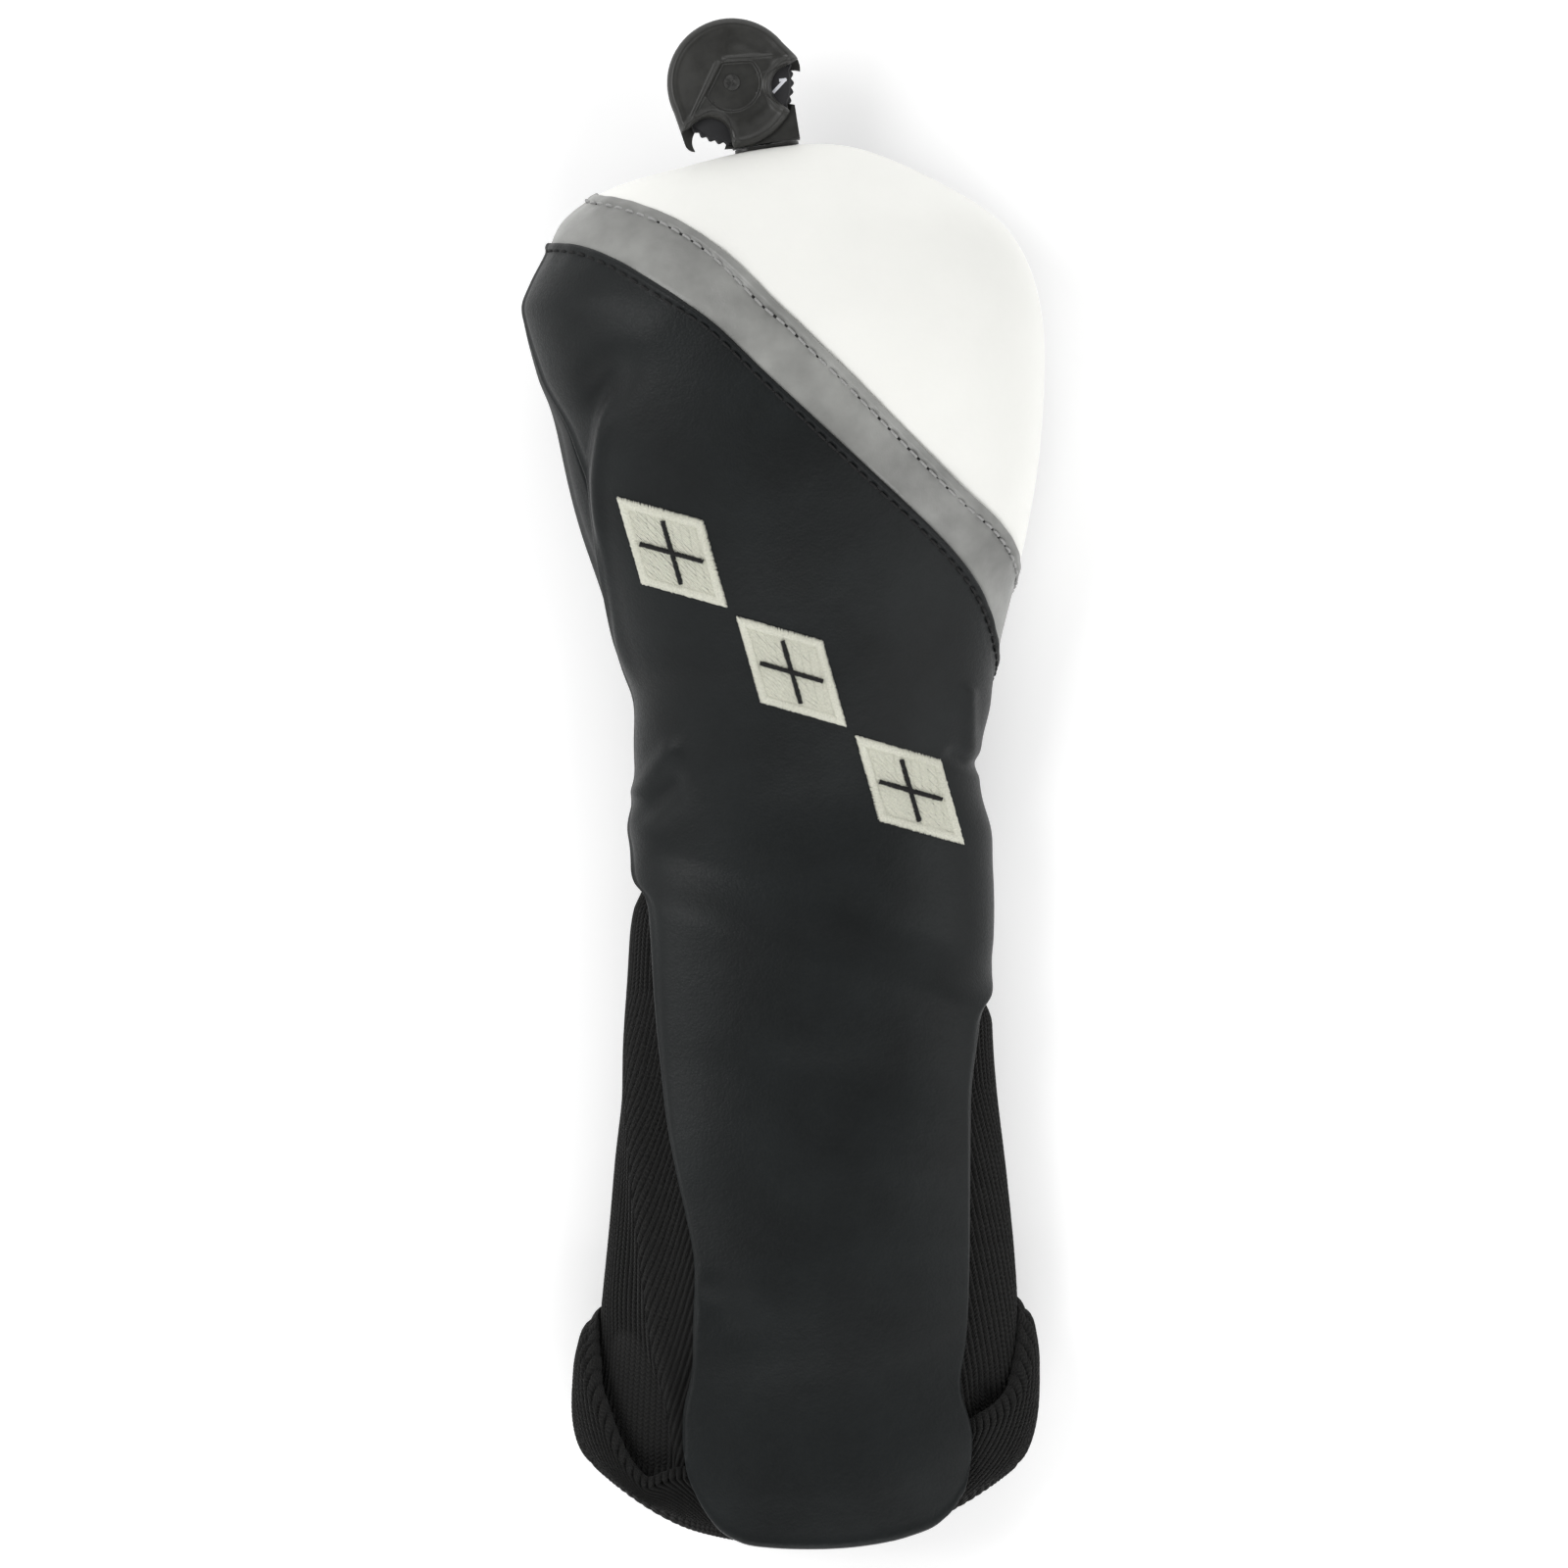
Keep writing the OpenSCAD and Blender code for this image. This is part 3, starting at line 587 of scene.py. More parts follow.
def knit(name, colour):
    """Ribbed yarn: each rib carries a column of V-shaped loops."""
    n = Nodes(name, colour, 0.9, Sheen_Weight=0.06, Sheen_Roughness=0.5,
              Specular_IOR_Level=0.3, Sheen_Tint=(0.5, 0.5, 0.5, 1))
    uv = n.add("ShaderNodeUVMap", uv_map="weave").outputs["UV"]
    axes = n.add("ShaderNodeSeparateXYZ", {"Vector": uv}).outputs
    across = n.maths("ABSOLUTE", n.maths("SUBTRACT", n.maths("FRACT", axes["X"]), 0.5))
    slanted = n.maths("ADD", axes["Y"], n.maths("MULTIPLY", across, 1.3))
    loops = n.maths("SINE", n.maths("MULTIPLY", slanted, 2 * math.pi))
    fibre = n.noise(3000, 3)
    n.bump(loops, 0.16, 0.8)
    n.bump(fibre, 0.10, 0.8)
    # Painted shade: the colour darkens in the grooves between the ribs, where shade falls.
    groove_shade = n.span(across, 0.22, 0.46, 0, -1.6)
    rough = n.maths("ADD", loops, n.maths("MULTIPLY", fibre, 1.5))
    n.tint(n.maths("ADD", groove_shade, rough), -1.2, 1.7, 0.35, 1.75)


def plush(name, colour):
    n = Nodes(name, colour, 0.95, Sheen_Weight=0.6, Sheen_Roughness=0.35,
              Sheen_Tint=(0.8, 0.8, 0.8, 1))
    pile = n.noise(1500, 3, 0.7)
    n.tint(pile, 0.3, 0.7, 0.6, 1.4)
    n.bump(pile, 0.5, 0.9)


def foam(name, colour):
    n = Nodes(name, colour, 0.9)
    cells = n.cells(1400, 0.1)
    n.tint(cells, 0.1, 0.6, 0.7, 1)
    n.bump(cells, 0.3, 0.9)


def elastic(name, colour):
    n = Nodes(name, colour, 0.8, Sheen_Weight=0.2)
    inputs = dict(Vector=n.place, Scale=450.0, Distortion=0.3)
    weave = n.add("ShaderNodeTexWave", inputs, bands_direction="Y").outputs["Fac"]
    n.tint(weave, 0, 1, 0.7, 1)
    n.bump(weave, 0.2, 0.8)


def plastic(name, colour, roughness):
    """Moulded plastic with a fine spark-eroded texture and light wear."""
    n = Nodes(name, colour, roughness)
    worn = n.noise(120, 5, 0.7)
    n.tint(worn, 0.35, 0.75, 0.85, 1.35)
    n.roughness(n.span(worn, 0.3, 0.7, roughness - 0.05, roughness + 0.10))
    n.bump(n.noise(3600, 2), 0.02, 0.5)


def steel(name, colour):
    n = Nodes(name, colour, 0.32, Metallic=1.0)
    marks = n.noise(700, 4)
    n.roughness(n.span(marks, 0.3, 0.7, 0.22, 0.42))
    n.bump(marks, 0.01, 0.5)


def ink(name, colour):
    n = Nodes(name, colour, 0.4)
    n.tint(n.noise(900, 3), 0.35, 0.65, 0.9, 1)


leather("leather_black", (0.0076, 0.0092, 0.0096), 0.42, 1500, 0.07, 0.25,
        Specular_IOR_Level=0.21)
leather("leather_white", (0.85, 0.85, 0.815), 0.5, 1500, 0.03, 0.015)
leather("leather_grey", (0.245, 0.247, 0.236), 0.32, 1700, 0.035, 0.32)
leather("leather_back", (0.0036, 0.0050, 0.0054), 0.55, 1500, 0.03,
        Specular_IOR_Level=0.17)
knit("knit", (0.0082, 0.0082, 0.0078))
plush("plush", (0.10, 0.10, 0.105))
foam("foam", (0.72, 0.70, 0.64))
elastic("elastic", (0.66, 0.66, 0.64))
thread("thread_grey", (0.30, 0.30, 0.295))
thread("thread_black", (0.0020, 0.0020, 0.0023), 0.8, 0.0)
thread("thread_pale", (0.62, 0.62, 0.53), 0.42)
plastic("tag_plastic", (0.022, 0.022, 0.020), 0.38)
plastic("dial_plastic", (0.012, 0.012, 0.014), 0.45)
ink("digit_ink", (0.80, 0.81, 0.86))
steel("steel", (0.17, 0.17, 0.165))


# ---- Leather panels ----
# Each upper edge is folded and laid over the next piece: the band over the
# crown, and the front panel over the band.
FOLD_HEIGHT = 0.7
BAND_STITCH_IN = 3.3
PANEL_STITCH_IN = 2.5
BAND_LIFT = 0.1
PANEL_LIFT = 0.35


def folded_edge(d, stitch_in):
    """Lift near a folded edge at a distance d in from it, with the groove
    that the stitching pulls down."""
    fold = FOLD_HEIGHT * (1 - smooth((d - stitch_in + 0.5) / 1.6))
    groove = -0.35 * hump(d - stitch_in, 0.55)
    return fold + groove


def pucker(along, pitch, height):
    """Slight waves that stitching leaves along a seam."""
    return height * np.sin(2 * np.pi * along / pitch + 0.8 * np.sin(along / 11))


# The tongue's end, as (share of the way across, y).
tongue_end = curve([
    (0, -176), (0.02, -183), (0.05, -188.5), (0.115, -196.5), (0.195, -200.8),
    (0.285, -202.2), (0.42, -202.6), (0.61, -201.6), (0.755, -199.2), (0.87, -195.5),
    (0.94, -190.5), (0.985, -184), (1, -177)])
WAIST_Y = 0.0


def panel_grid(lower_rows, upper_rows, cols):
    """Spots of the front panel, from the tongue's end up to the band."""
    k = crowded(cols)[None, :]
    share = crowded(lower_rows, 0.06)[:, None]
    y_end = tongue_end(k)
    y = y_end + (WAIST_Y - y_end) * share
    a_low = left_angle(y) * (1 - k) + right_angle(y) * k
    t_low = t_at(a_low, y)
    for _ in range(4):
        p = raised(t_low, a_low, tongue_rise(t_low, a_low))
        t_low = t_at(a_low, form(t_low, a_low)[..., 1] + y - p[..., 1])
    rise = 1 - (1 - np.linspace(0, 1, upper_rows)) ** 1.15
    rise = rise[1:, None]
    left_low, left_high = t_at(LEFT_END, WAIST_Y), t_at(LEFT_END, 143.0)
    y_left = form(left_low + (left_high - left_low) * rise, LEFT_END)[..., 1]
    a_up = left_angle(y_left) * (1 - k) + RIGHT_END * k
    t0 = t_at(a_up, WAIST_Y)
    t1 = t_at(a_up, band_bottom(a_up))
    return np.vstack([t_low, t0 + (t1 - t0) * rise]), np.vstack([a_low, a_up])


def front_panel():
    t, a = panel_grid(200, 150, 130)
    rise = tongue_rise(t, a)
    lift = rise + relief(t, a)
    left, right, low, high = edge_distances(raised(t, a, lift))
    y = form(t, a)[..., 1]
    loose = smooth((neck_seam(a) - y) / 12)
    sides = np.minimum(left, right)
    droop = loose * 1.4 * (1 - smooth(sides / 9)) ** 2
    lip = loose * 0.25 * hump(np.minimum(sides, low) - 1.6, 1.2)
    bead = 0.25 * hump(left - 0.9, 0.7) - 0.3 * hump(left - 3.0, 1.3)
    seam = (1 - loose) * (bead - 0.6 * hump(right, 1.6))
    lift = lift - droop + lip + seam + folded_edge(high, PANEL_STITCH_IN) + PANEL_LIFT
    lift = lift + hump(high, 7) * pucker(run_lengths(raised(t, a, lift), 1), 8.5, 0.10)
    leather_sheet("front_panel_leather", t, a, lift, "leather_black", ["front_panel"])


def accent_band():
    rows, cols, under = 44, 260, 2.5
    a = np.linspace(LEFT_END, RIGHT_END, cols)[None, :]
    t0, t1 = t_at(a, band_bottom(a) - under), t_at(a, band_top(a))
    t = t0 + (t1 - t0) * crowded(rows, 0.10)[:, None]
    a = np.broadcast_to(a, t.shape)
    lift = relief(t, a)
    _, _, low, high = edge_distances(raised(t, a, lift))
    along = run_lengths(raised(t, a, lift), 1)
    tuck = -0.9 * (1 - smooth(low / 4))
    wrinkles = (hump(high - BAND_STITCH_IN, 4) * pucker(along, 7.2, 0.12)
                + 0.16 * np.sin(along / 6.5 + low / 4) * smooth(low / 5)
                + 0.12 * np.sin(along / 3.7 - low / 2.5) * hump(low - 6, 3))
    lift = lift + tuck + folded_edge(high, BAND_STITCH_IN) + wrinkles + BAND_LIFT
    leather_sheet("accent_band_leather", t, a, lift, "leather_grey", ["accent_band"], 0.8, 1.2)


# How far up the crown and back panels run, just short of the tag's base.
SLOT_T = LAST - 0.26


def crown_panel():
    cols, rows = 260, 130
    a = np.linspace(LEFT_END, RIGHT_END, cols)[None, :]
    t0 = t_at(a, band_top(a) - 3.5)
    t = t0 + (SLOT_T - t0) * np.linspace(0, 1, rows)[:, None]
    a = np.broadcast_to(a, t.shape)
    base = relief(t, a)
    _, right, low, _ = edge_distances(raised(t, a, base))
    tuck = -0.9 * (1 - smooth((low - 2.0) / 3.5))
    lift = base + tuck - 0.5 * hump(right, 1.6)
    leather_sheet("crown_panel_leather", t, a, lift, "leather_white", ["crown_panel"], 0.9, 1.3)


# The back panel's side edges pass under the panels they are sewn to.
SEAM_UNDER = 2.6


def back_panel():
    rows, cols = 170, 120
    low = t_at(LEFT_END, neck_seam(LEFT_END))
    share = crowded(rows, 0.06)[:, None]
    y = form(low + (SLOT_T - low) * share, LEFT_END)[..., 1]
    first = RIGHT_END - SEAM_UNDER
    last = 360 + left_angle(y) + SEAM_UNDER
    a = first + (last - first) * crowded(cols, 0.10)[None, :]
    t0 = t_at(a, neck_seam(a))
    t = t0 + (SLOT_T - t0) * share
    lift = relief(t, turned(a))
    left, right, low_d, _ = edge_distances(raised(t, a, lift))
    tuck = 1.6 * (1 - smooth((np.minimum(left, right) - 1.2) / 2.6))
    lift = lift - tuck - 0.3 * hump(low_d, 2)
    leather_sheet("back_panel_leather", t, a, lift, "leather_back", ["back_panel"], 0.9, 1.4)


# ---- Hidden layers ----
LAYER_END_T = LAST - 0.62
LAYER_SPAN = 179.4


def hidden_layers():
    """A foam padding and a quilted lining in each half of the pocket."""
    rows, cols = 90, 90
    padding_depth = LEATHER + 2 * LAYER_GAP
    lining_depth = padding_depth + PADDING + LAYER_GAP / 2
    for side, a0 in (("front", -89.7), ("back", 90.3)):
        a = np.linspace(a0, a0 + LAYER_SPAN, cols)[None, :]
        t0 = t_at(a, neck_seam(a) + 9)
        t = t0 + (LAYER_END_T - t0) * np.linspace(0, 1, rows)[:, None]
        a = np.broadcast_to(a, t.shape)
        dents = np.minimum(relief(t, turned(a)) - 0.2, 0)
        pad = leather_sheet(f"padding_{side}_foam", t, a, dents - padding_depth, "foam",
                            [f"padding_{side}"], 0.6, PADDING - 0.4)
        quilt = 0.25 * np.abs(np.sin(t * 9.0) * np.sin(np.radians(a) * 9))
        leather_sheet(f"lining_{side}_plush", t, a, dents - lining_depth - quilt,
                      "plush", [f"lining_{side}"], 0.6, LINING - 0.4)


def waist_elastic():
    """A gathered elastic tape round the inside of the waist."""
    a = np.linspace(0, 360, 240, endpoint=False)[:, None]
    depth = 2 * LAYER_GAP + LEATHER + PADDING + LAYER_GAP + LINING
    gather = 0.18 * np.sin(np.radians(a) * 60)
    y = np.array([0, 3, 6, 9, 12, 12, 9, 6, 3, 0])
    inner = np.repeat([0, 1], 5)
    lift = -depth - ELASTIC * inner + gather
    rings = raised(t_at(a, y), a + 0 * y, lift)
    closed_tube("waist_elastic_tape", rings, "elastic", ["waist_elastic"])


# ---- Ribbed knit with its turned-up cuff ----
# Stations at the mouth: in the middle, how much further in at the corners, and
# from where the sock starts up inside its cuff.
MOUTH_T = 0.05
LEFT_CORNER_T = 0.27
RIGHT_CORNER_T = 0.15
SOCK_START_T = 0.09
FOLD_T = 0.10
LIP_T = 0.11


def rib_angles(count):
    """Angles that space ribs evenly round a section near the mouth."""
    a = np.linspace(-180, 180, 2001)
    run = path_lengths(form(2.5, a))
    return np.interp(np.linspace(0, run[-1], count, endpoint=False), run, a)


# The fold down the left of the sock, as (y, x).
fold_ridge = curve([
    (-180, -29), (-165, -31.7), (-149, -35.1), (-132, -36.9), (-117, -38.5), (-60, -41.6),
    (-30, -42)])
LEFT_SLANT = math.tan(math.radians(14))
RIGHT_SLANT = math.tan(math.radians(10))
RIB_PITCH = 1.6
LOOP_PITCH = 1.25
CUFF_RIM_THICKNESS = 4.4


def knit_relief(t, a):
    """The soft fold down the left of the sock, and the hollows where it
    sinks into its cuff."""
    p = form(t, a)
    x, y = p[..., 0], p[..., 1]
    d = x - fold_ridge(y)
    there = smooth((-45 - y) / 30) * smooth((y + 190) / 12)
    front = smooth(cosd(a) * 4 + 0.3)
    r = 1.5 * hump(d - 1.2, 2.6) - 1.0 * hump(d - 8, 4.5) - 0.8 * smooth(-d / 4)
    r = r + dimple(x, y, (-38.5, -166), (6.5, 17), 17, -6.5)
    r = r + dimple(x, y, (53, -165), (4, 7), 0, -3.0)
    return front * there * r + 0.3 * np.sin(y / 14 + np.radians(a) * 3) * there


def slanted(count, p, a):
    """Rib counts over the sock: ribs lean where the fold pulls them."""
    x, y = p[..., 0], p[..., 1]
    in_fold = (x > fold_ridge(y)) & (x < 0) & (cosd(a) > 0)
    at_right = (x > 0) & (cosd(a) > -0.3)
    down = np.clip(-55 - y, 0, None)
    further = np.clip(-80 - y, 0, None)
    return (count + in_fold * LEFT_SLANT * down / RIB_PITCH
            - at_right * RIGHT_SLANT * further / RIB_PITCH)


def cuff_lift(a, v):
    """How far the cuff's outer face stands out, from its fold (v = 0) to its
    rim (v = 1). At the back and the sides the rim closes onto the sock."""
    wide = smooth(2.6 * np.abs(sind(a)) - 1.35)
    full = CUFF_UNDER_TONGUE + (CUFF - CUFF_UNDER_TONGUE) * wide
    closed = smooth((np.abs(a) - 68) / 22)
    full = full + 1.8 * hump(a + 60, 18)
    swell = 0.1 + 0.9 * (1 - np.clip(1 - v / 0.6, 0, 1) ** 2) ** 0.7
    round_off = 1 - np.sqrt(1 - np.clip((v - 0.72) / 0.28, 0, 1) ** 2)
    return full * (swell - (0.12 + 0.58 * closed) * round_off)


def cuff_ribs(a, v, count):
    """Rib counts over the cuff: towards the fold the ribs draw together to
    the front."""
    near_side = smooth(np.abs(a) / 40) * smooth((165 - np.abs(a)) / 60)
    label = a + np.sign(a) * 26 * near_side * (1 - v) ** 1.4
    return np.interp(label, a[:, 0], count[:, 0])


def cuff_pinch(t, a):
    """The gathered spot where the cuff's rim meets the tongue at the left."""
    p = form(t, a)
    return dimple(p[..., 0], p[..., 1], (-33, -183), (5.5, 3.5), -30, -1.6)


def tucked_under(t, a):
    """How much the top of the sock is drawn in under the leather."""
    return (LEATHER + LAYER_GAP) * smooth((form(t, a)[..., 1] - neck_seam(a) + 12) / 10)


def knit_sock():
    per_rib = 6
    a = rib_angles(RIBS * per_rib)[:, None]
    count = np.arange(RIBS * per_rib)[:, None] / per_rib
    top = t_at(a, neck_seam(a) + 6)
    rim = t_at(a, cuff_rim(a))
    side = np.abs(sind(a))
    corner = np.where(a < 0, LEFT_CORNER_T, RIGHT_CORNER_T)
    mouth = MOUTH_T + corner * np.clip((side - 0.5) / 0.5, 0, 1) ** 2
    start = mouth + SOCK_START_T
    strips = []

    def add(t, lift, ribbed, counts=count):
        strips.append(np.broadcast_arrays(t + 0 * a, lift, ribbed, counts))

    # Down the inside, round the fold, up the cuff, over its lip, down behind
    # it, and up the outside of the sock.
    t = top + (mouth - top) * np.linspace(0, 1, 16)
    add(t, -KNIT - tucked_under(t, a), 0.15)
    turn = np.linspace(0, np.pi, 9)[1:-1]
    low = cuff_lift(a, 0.0)
    add(mouth - FOLD_T * np.sin(turn), (low - KNIT) / 2 - (low + KNIT) / 2 * np.cos(turn),
        0.6, cuff_ribs(a, 0.0, count))
    up = np.sin(np.linspace(0, np.pi / 2, 54))[None, :]
    t = mouth + (rim - mouth) * up
    add(t, cuff_lift(a, up) + cuff_pinch(t, a), 1 + 1.1 * smooth((up - 0.86) / 0.14),
        cuff_ribs(a, up, count))
    over = np.linspace(0, np.pi, 11)[1:-1]
    rim_lift = cuff_lift(a, 1.0)
    thick = np.minimum(CUFF_RIM_THICKNESS, rim_lift - 0.25)
    add(rim + LIP_T * np.sin(over), rim_lift - thick / 2 * (1 - np.cos(over)),
        2.1 * (1 - 0.85 * smooth(over / 1.5)))
    down = np.linspace(0, 1, 12)
    gap = rim_lift - thick
    add(rim + (start - rim) * down, gap + (0.2 - gap) * smooth(down * 1.2), 0.3)
    t = start + (top - start) * np.linspace(0, 1, 120)
    add(t, knit_relief(t, a) - tucked_under(t, a), 1.0, slanted(count, form(t, a), a))

    t, lift, ribbed, counts = (np.hstack(columns) for columns in zip(*strips))
    rib = np.abs(np.sin(np.pi * counts)) ** 0.7
    rings = raised(t, a, lift + RIB_HEIGHT * (rib - 0.5) * ribbed)
    along = run_lengths(rings, 1) / LOOP_PITCH
    uv = np.stack([counts, along], -1).reshape(-1, 2)
    closed_tube("knit_sock_ribbed", rings, "knit", ["knit_sock"], uv=uv)


def tongue_backing():
    """The underside of the tongue, set in from its edges."""
    t, a = panel_grid(120, 3, 70)
    t, a = t[4:78, 4:-4], a[4:78, 4:-4]
    lift = tongue_rise(t, a) - LEATHER - LAYER_GAP
    leather_sheet("tongue_backing_plush", t, a, lift, "plush",
                  ["tongue_backing"], 0.5, BACKING)


# ---- Threads ----
def tubes(paths, up, radius, sides=6, end=0.45):
    """One mesh of many closed tubes that narrow to end at their ends. paths
    is (n, m, 3) and up is (n, 3)."""
    n, m, _ = paths.shape
    ahead = unit(np.gradient(paths, axis=1))
    up = np.broadcast_to(up[:, None, :], paths.shape)
    side = unit(np.cross(ahead, up))
    top = np.cross(side, ahead)
    turn = np.linspace(0, 2 * np.pi, sides, endpoint=False)
    taper = np.ones(m)
    taper[[0, -1]] = end
    r = (radius * taper)[None, :, None, None]
    ring = (np.cos(turn)[None, None, :, None] * side[:, :, None, :]
            + np.sin(turn)[None, None, :, None] * top[:, :, None, :])
    points = paths[:, :, None, :] + r * ring
    faces = []
    quads = grid_quads(m, sides, closed=True)
    caps = np.array([np.arange(sides), m * sides - 1 - np.arange(sides)])
    for k in range(n):
        base = k * m * sides
        faces += (quads[:, ::-1] + base).tolist() + (caps + base).tolist()
    return points.reshape(-1, 3), faces


def stitch_row(name, spots, lift, material, node):
    """Stitches along a line of spots, each dipping into its needle holes, with small dark tubes
    between them as painted shade in the holes.
    """
    t, a = spots
    run = path_lengths(raised(t, a, lift))

    def laid(where, rise):
        """Paths along the row, and the way out of the leather at each."""
        tt, aa, lifts = (np.interp(where, run, v) for v in (t, a, lift))
        middle = where.shape[1] // 2
        return raised(tt, aa, lifts + rise), outward(tt[:, middle], aa[:, middle])

    starts = np.arange(0.5, run[-1] - STITCH_LENGTH, STITCH_PITCH)
    steps = np.linspace(0, 1, 9)
    arch = 0.42 - 0.75 * np.abs(2 * steps - 1) ** 4
    uneven = np.random.default_rng(7).uniform(-0.05, 0.05, (len(starts), 1))
    paths, up = laid(starts[:, None] + STITCH_LENGTH * steps, arch + uneven)
    make_object(name, *tubes(paths, up, THREAD_R, 8), material, stands_for=[node])
    # Painted shade: dark thread_black tubes in the gaps between stitches stand for the shade in
    # the needle holes.
    between = starts[1:] - (STITCH_PITCH - STITCH_LENGTH) / 2
    paths, up = laid(between[:, None] + np.linspace(-0.55, 0.55, 5), -0.2)
    make_object(name + "_hole_shade", *tubes(paths, up, HOLE_SHADE_R, 8, 0.5), "thread_black")


def line_below(edge, inset, a0, a1, extra):
    """Spots on a line inset millimetres below a seam, and the leather's lift
    there."""
    a = np.linspace(a0, a1, 500)
    t_edge = t_at(a, edge(a))
    t = t_edge - 0.02
    for _ in range(10):
        gap = np.linalg.norm(form(t, a) - form(t_edge, a), axis=-1)
        slant = np.abs(np.gradient(form(t_edge, a), axis=0))
        run = np.linalg.norm(slant, axis=-1)
        straight = np.sqrt(np.clip(1 - (slant[:, 1] / run) ** 2, 0.05, 1))
        t = t_edge - (t_edge - t) * (inset / straight) / np.maximum(gap, 0.05)
    return (t, a), relief(t, a) + extra


def topstitching():
    last = RIGHT_END - 1.5
    spots, lift = line_below(band_top, BAND_STITCH_IN, LEFT_END + 1.5, last, BAND_LIFT)
    stitch_row("band_stitching_thread", spots, lift, "thread_grey", "band_stitching")
    spots, lift = line_below(band_bottom, PANEL_STITCH_IN, LEFT_END + 2, last, 0.3)
    stitch_row("panel_stitching_thread", spots, lift, "thread_black", "panel_stitching")


# ---- Embroidered diamonds ----
EMBLEM_AT = (2.0, 29.5)
EMBLEM_SLOPE = -45
DIAMONDS = 3
DIAMOND_LONG = 20.5
DIAMOND_WIDE = 11.5
DIAMOND_SPACE = 3.0
BORDER = 2.5
MIDDLES = [(i - (DIAMONDS - 1) / 2) * (2 * DIAMOND_LONG + DIAMOND_SPACE)
           for i in range(DIAMONDS)]
EMBROIDERY_R = 0.25
SATIN_PITCH = 0.42
FILL_PITCH = 0.41
FILL_STITCH = 3.6


def sewn(along, across, height):
    """Points of embroidery: along and across the row of diamonds, and above
    the leather."""
    c, s = cosd(EMBLEM_SLOPE), sind(EMBLEM_SLOPE)
    x = EMBLEM_AT[0] + along * c - across * s
    y = EMBLEM_AT[1] + along * s + across * c

    def surface(t, a):
        return tongue_rise(t, a) + relief(t, a) + PANEL_LIFT

    t, a = spot_under(x, y, surface)
    return raised(t, a, surface(t, a) + height)


def diamond_corners(long, wide):
    return np.array([[long, 0], [0, wide], [-long, 0], [0, -wide]], float)


def satin(p, q, inner_p, inner_q, rng):
    """Threads laid across a strip between an outer and an inner side."""
    n = int(np.linalg.norm(q - p) / SATIN_PITCH)
    share = (np.arange(n) + 0.5)[:, None] / n
    start = p + (q - p) * share
    end = inner_p + (inner_q - inner_p) * share
    jitter = rng.uniform(-0.12, 0.12, (n, 2))
    steps = np.linspace(0, 1, 7)[None, :, None]
    flat = (start + jitter)[:, None] * (1 - steps) + (end - jitter)[:, None] * steps
    arch = 0.15 + 0.75 * (1 - np.abs(2 * steps[..., 0] - 1) ** 2.6)
    return flat, np.broadcast_to(arch, flat.shape[:2]) + rng.uniform(-0.04, 0.04, (n, 1))


def thread_object(name, flat, height, material, node, end=0.45):
    """An object of threads along flat paths, at a height above the leather."""
    flat, height = np.vstack(flat), np.vstack(height)
    paths = sewn(flat[..., 0], flat[..., 1], height)
    ahead = paths[:, -1] - paths[:, 0]
    up = unit(np.cross(ahead, np.cross([0, 0, 1.0], ahead)))
    threads = tubes(paths, up, EMBROIDERY_R, 6, end)
    make_object(name, *threads, material, stands_for=[node])


def diamond_borders(rng):
    outer = diamond_corners(DIAMOND_LONG, DIAMOND_WIDE)
    inner = diamond_corners(DIAMOND_LONG - BORDER * 1.9, DIAMOND_WIDE - BORDER * 1.15)
    strips = [satin(*(corners[k % 4] + [m, 0] for corners in (outer, inner)
                      for k in (side, side + 1)), rng)
              for m in MIDDLES for side in range(4)]
    flats, heights = zip(*strips)
    thread_object("emblem_border_threads", flats, heights, "thread_pale",
                  "emblem_borders")


def diamond_fills(rng):
    """Rows of short stitches, each row shifted against the last."""
    long, wide = DIAMOND_LONG - BORDER * 1.6, DIAMOND_WIDE - BORDER
    flats = []
    steps = np.linspace(0, 1, 5)
    for m in MIDDLES:
        for row, across in enumerate(np.arange(-wide + 0.3, wide - 0.2, FILL_PITCH)):
            reach = long * (1 - abs(across) / wide)
            start = -reach - FILL_STITCH * ((row * 0.37) % 1)
            for left in np.arange(start, reach, FILL_STITCH):
                x0 = max(left, -reach) - 0.3
                x1 = min(left + FILL_STITCH, reach) + 0.3
                if x1 - x0 > 0.8:
                    y = across + rng.uniform(-0.06, 0.06)
                    flats.append(np.stack([m + x0 + (x1 - x0) * steps, y + 0 * steps], -1))
    arch = 0.22 + 0.16 * (1 - np.abs(2 * steps - 1) ** 4)
    heights = arch + rng.uniform(-0.04, 0.04, (len(flats), 1))
    thread_object("emblem_fill_threads", [np.array(flats)], heights, "thread_pale",
                  "emblem_fills", 0.75)


def diamond_crosses(rng):
    """Two narrow satin lines cross in each diamond, parallel to its sides."""
    half = 0.6
    flats, heights = [], []
    for m in MIDDLES:
        for side, lift in ((-1, 0.45), (1, 0.62)):
            reach = np.array([DIAMOND_LONG - BORDER * 2.2,
                              side * (DIAMOND_WIDE - BORDER * 1.3)]) / 2
            ahead = unit(reach)
            off = np.array([-ahead[1], ahead[0]]) * half
            ends = (off - reach, off + reach, -off - reach, reach - off)
            flat, height = satin(*(end + [m, 0] for end in ends), rng)
            flats.append(flat)
            heights.append(height * 0.55 + lift)
    thread_object("emblem_cross_threads", flats, heights, "thread_black",
                  "emblem_crosses")


def emblem():
    rng = np.random.default_rng(11)
    diamond_borders(rng)
    diamond_fills(rng)
    diamond_crosses(rng)


# ---- Tag ----
# The tag's own axes start at the pole: +Y along the swivel, +Z out of its face.
PIVOT = np.array([-6.5, 18.15])
CASE_R = 17.1
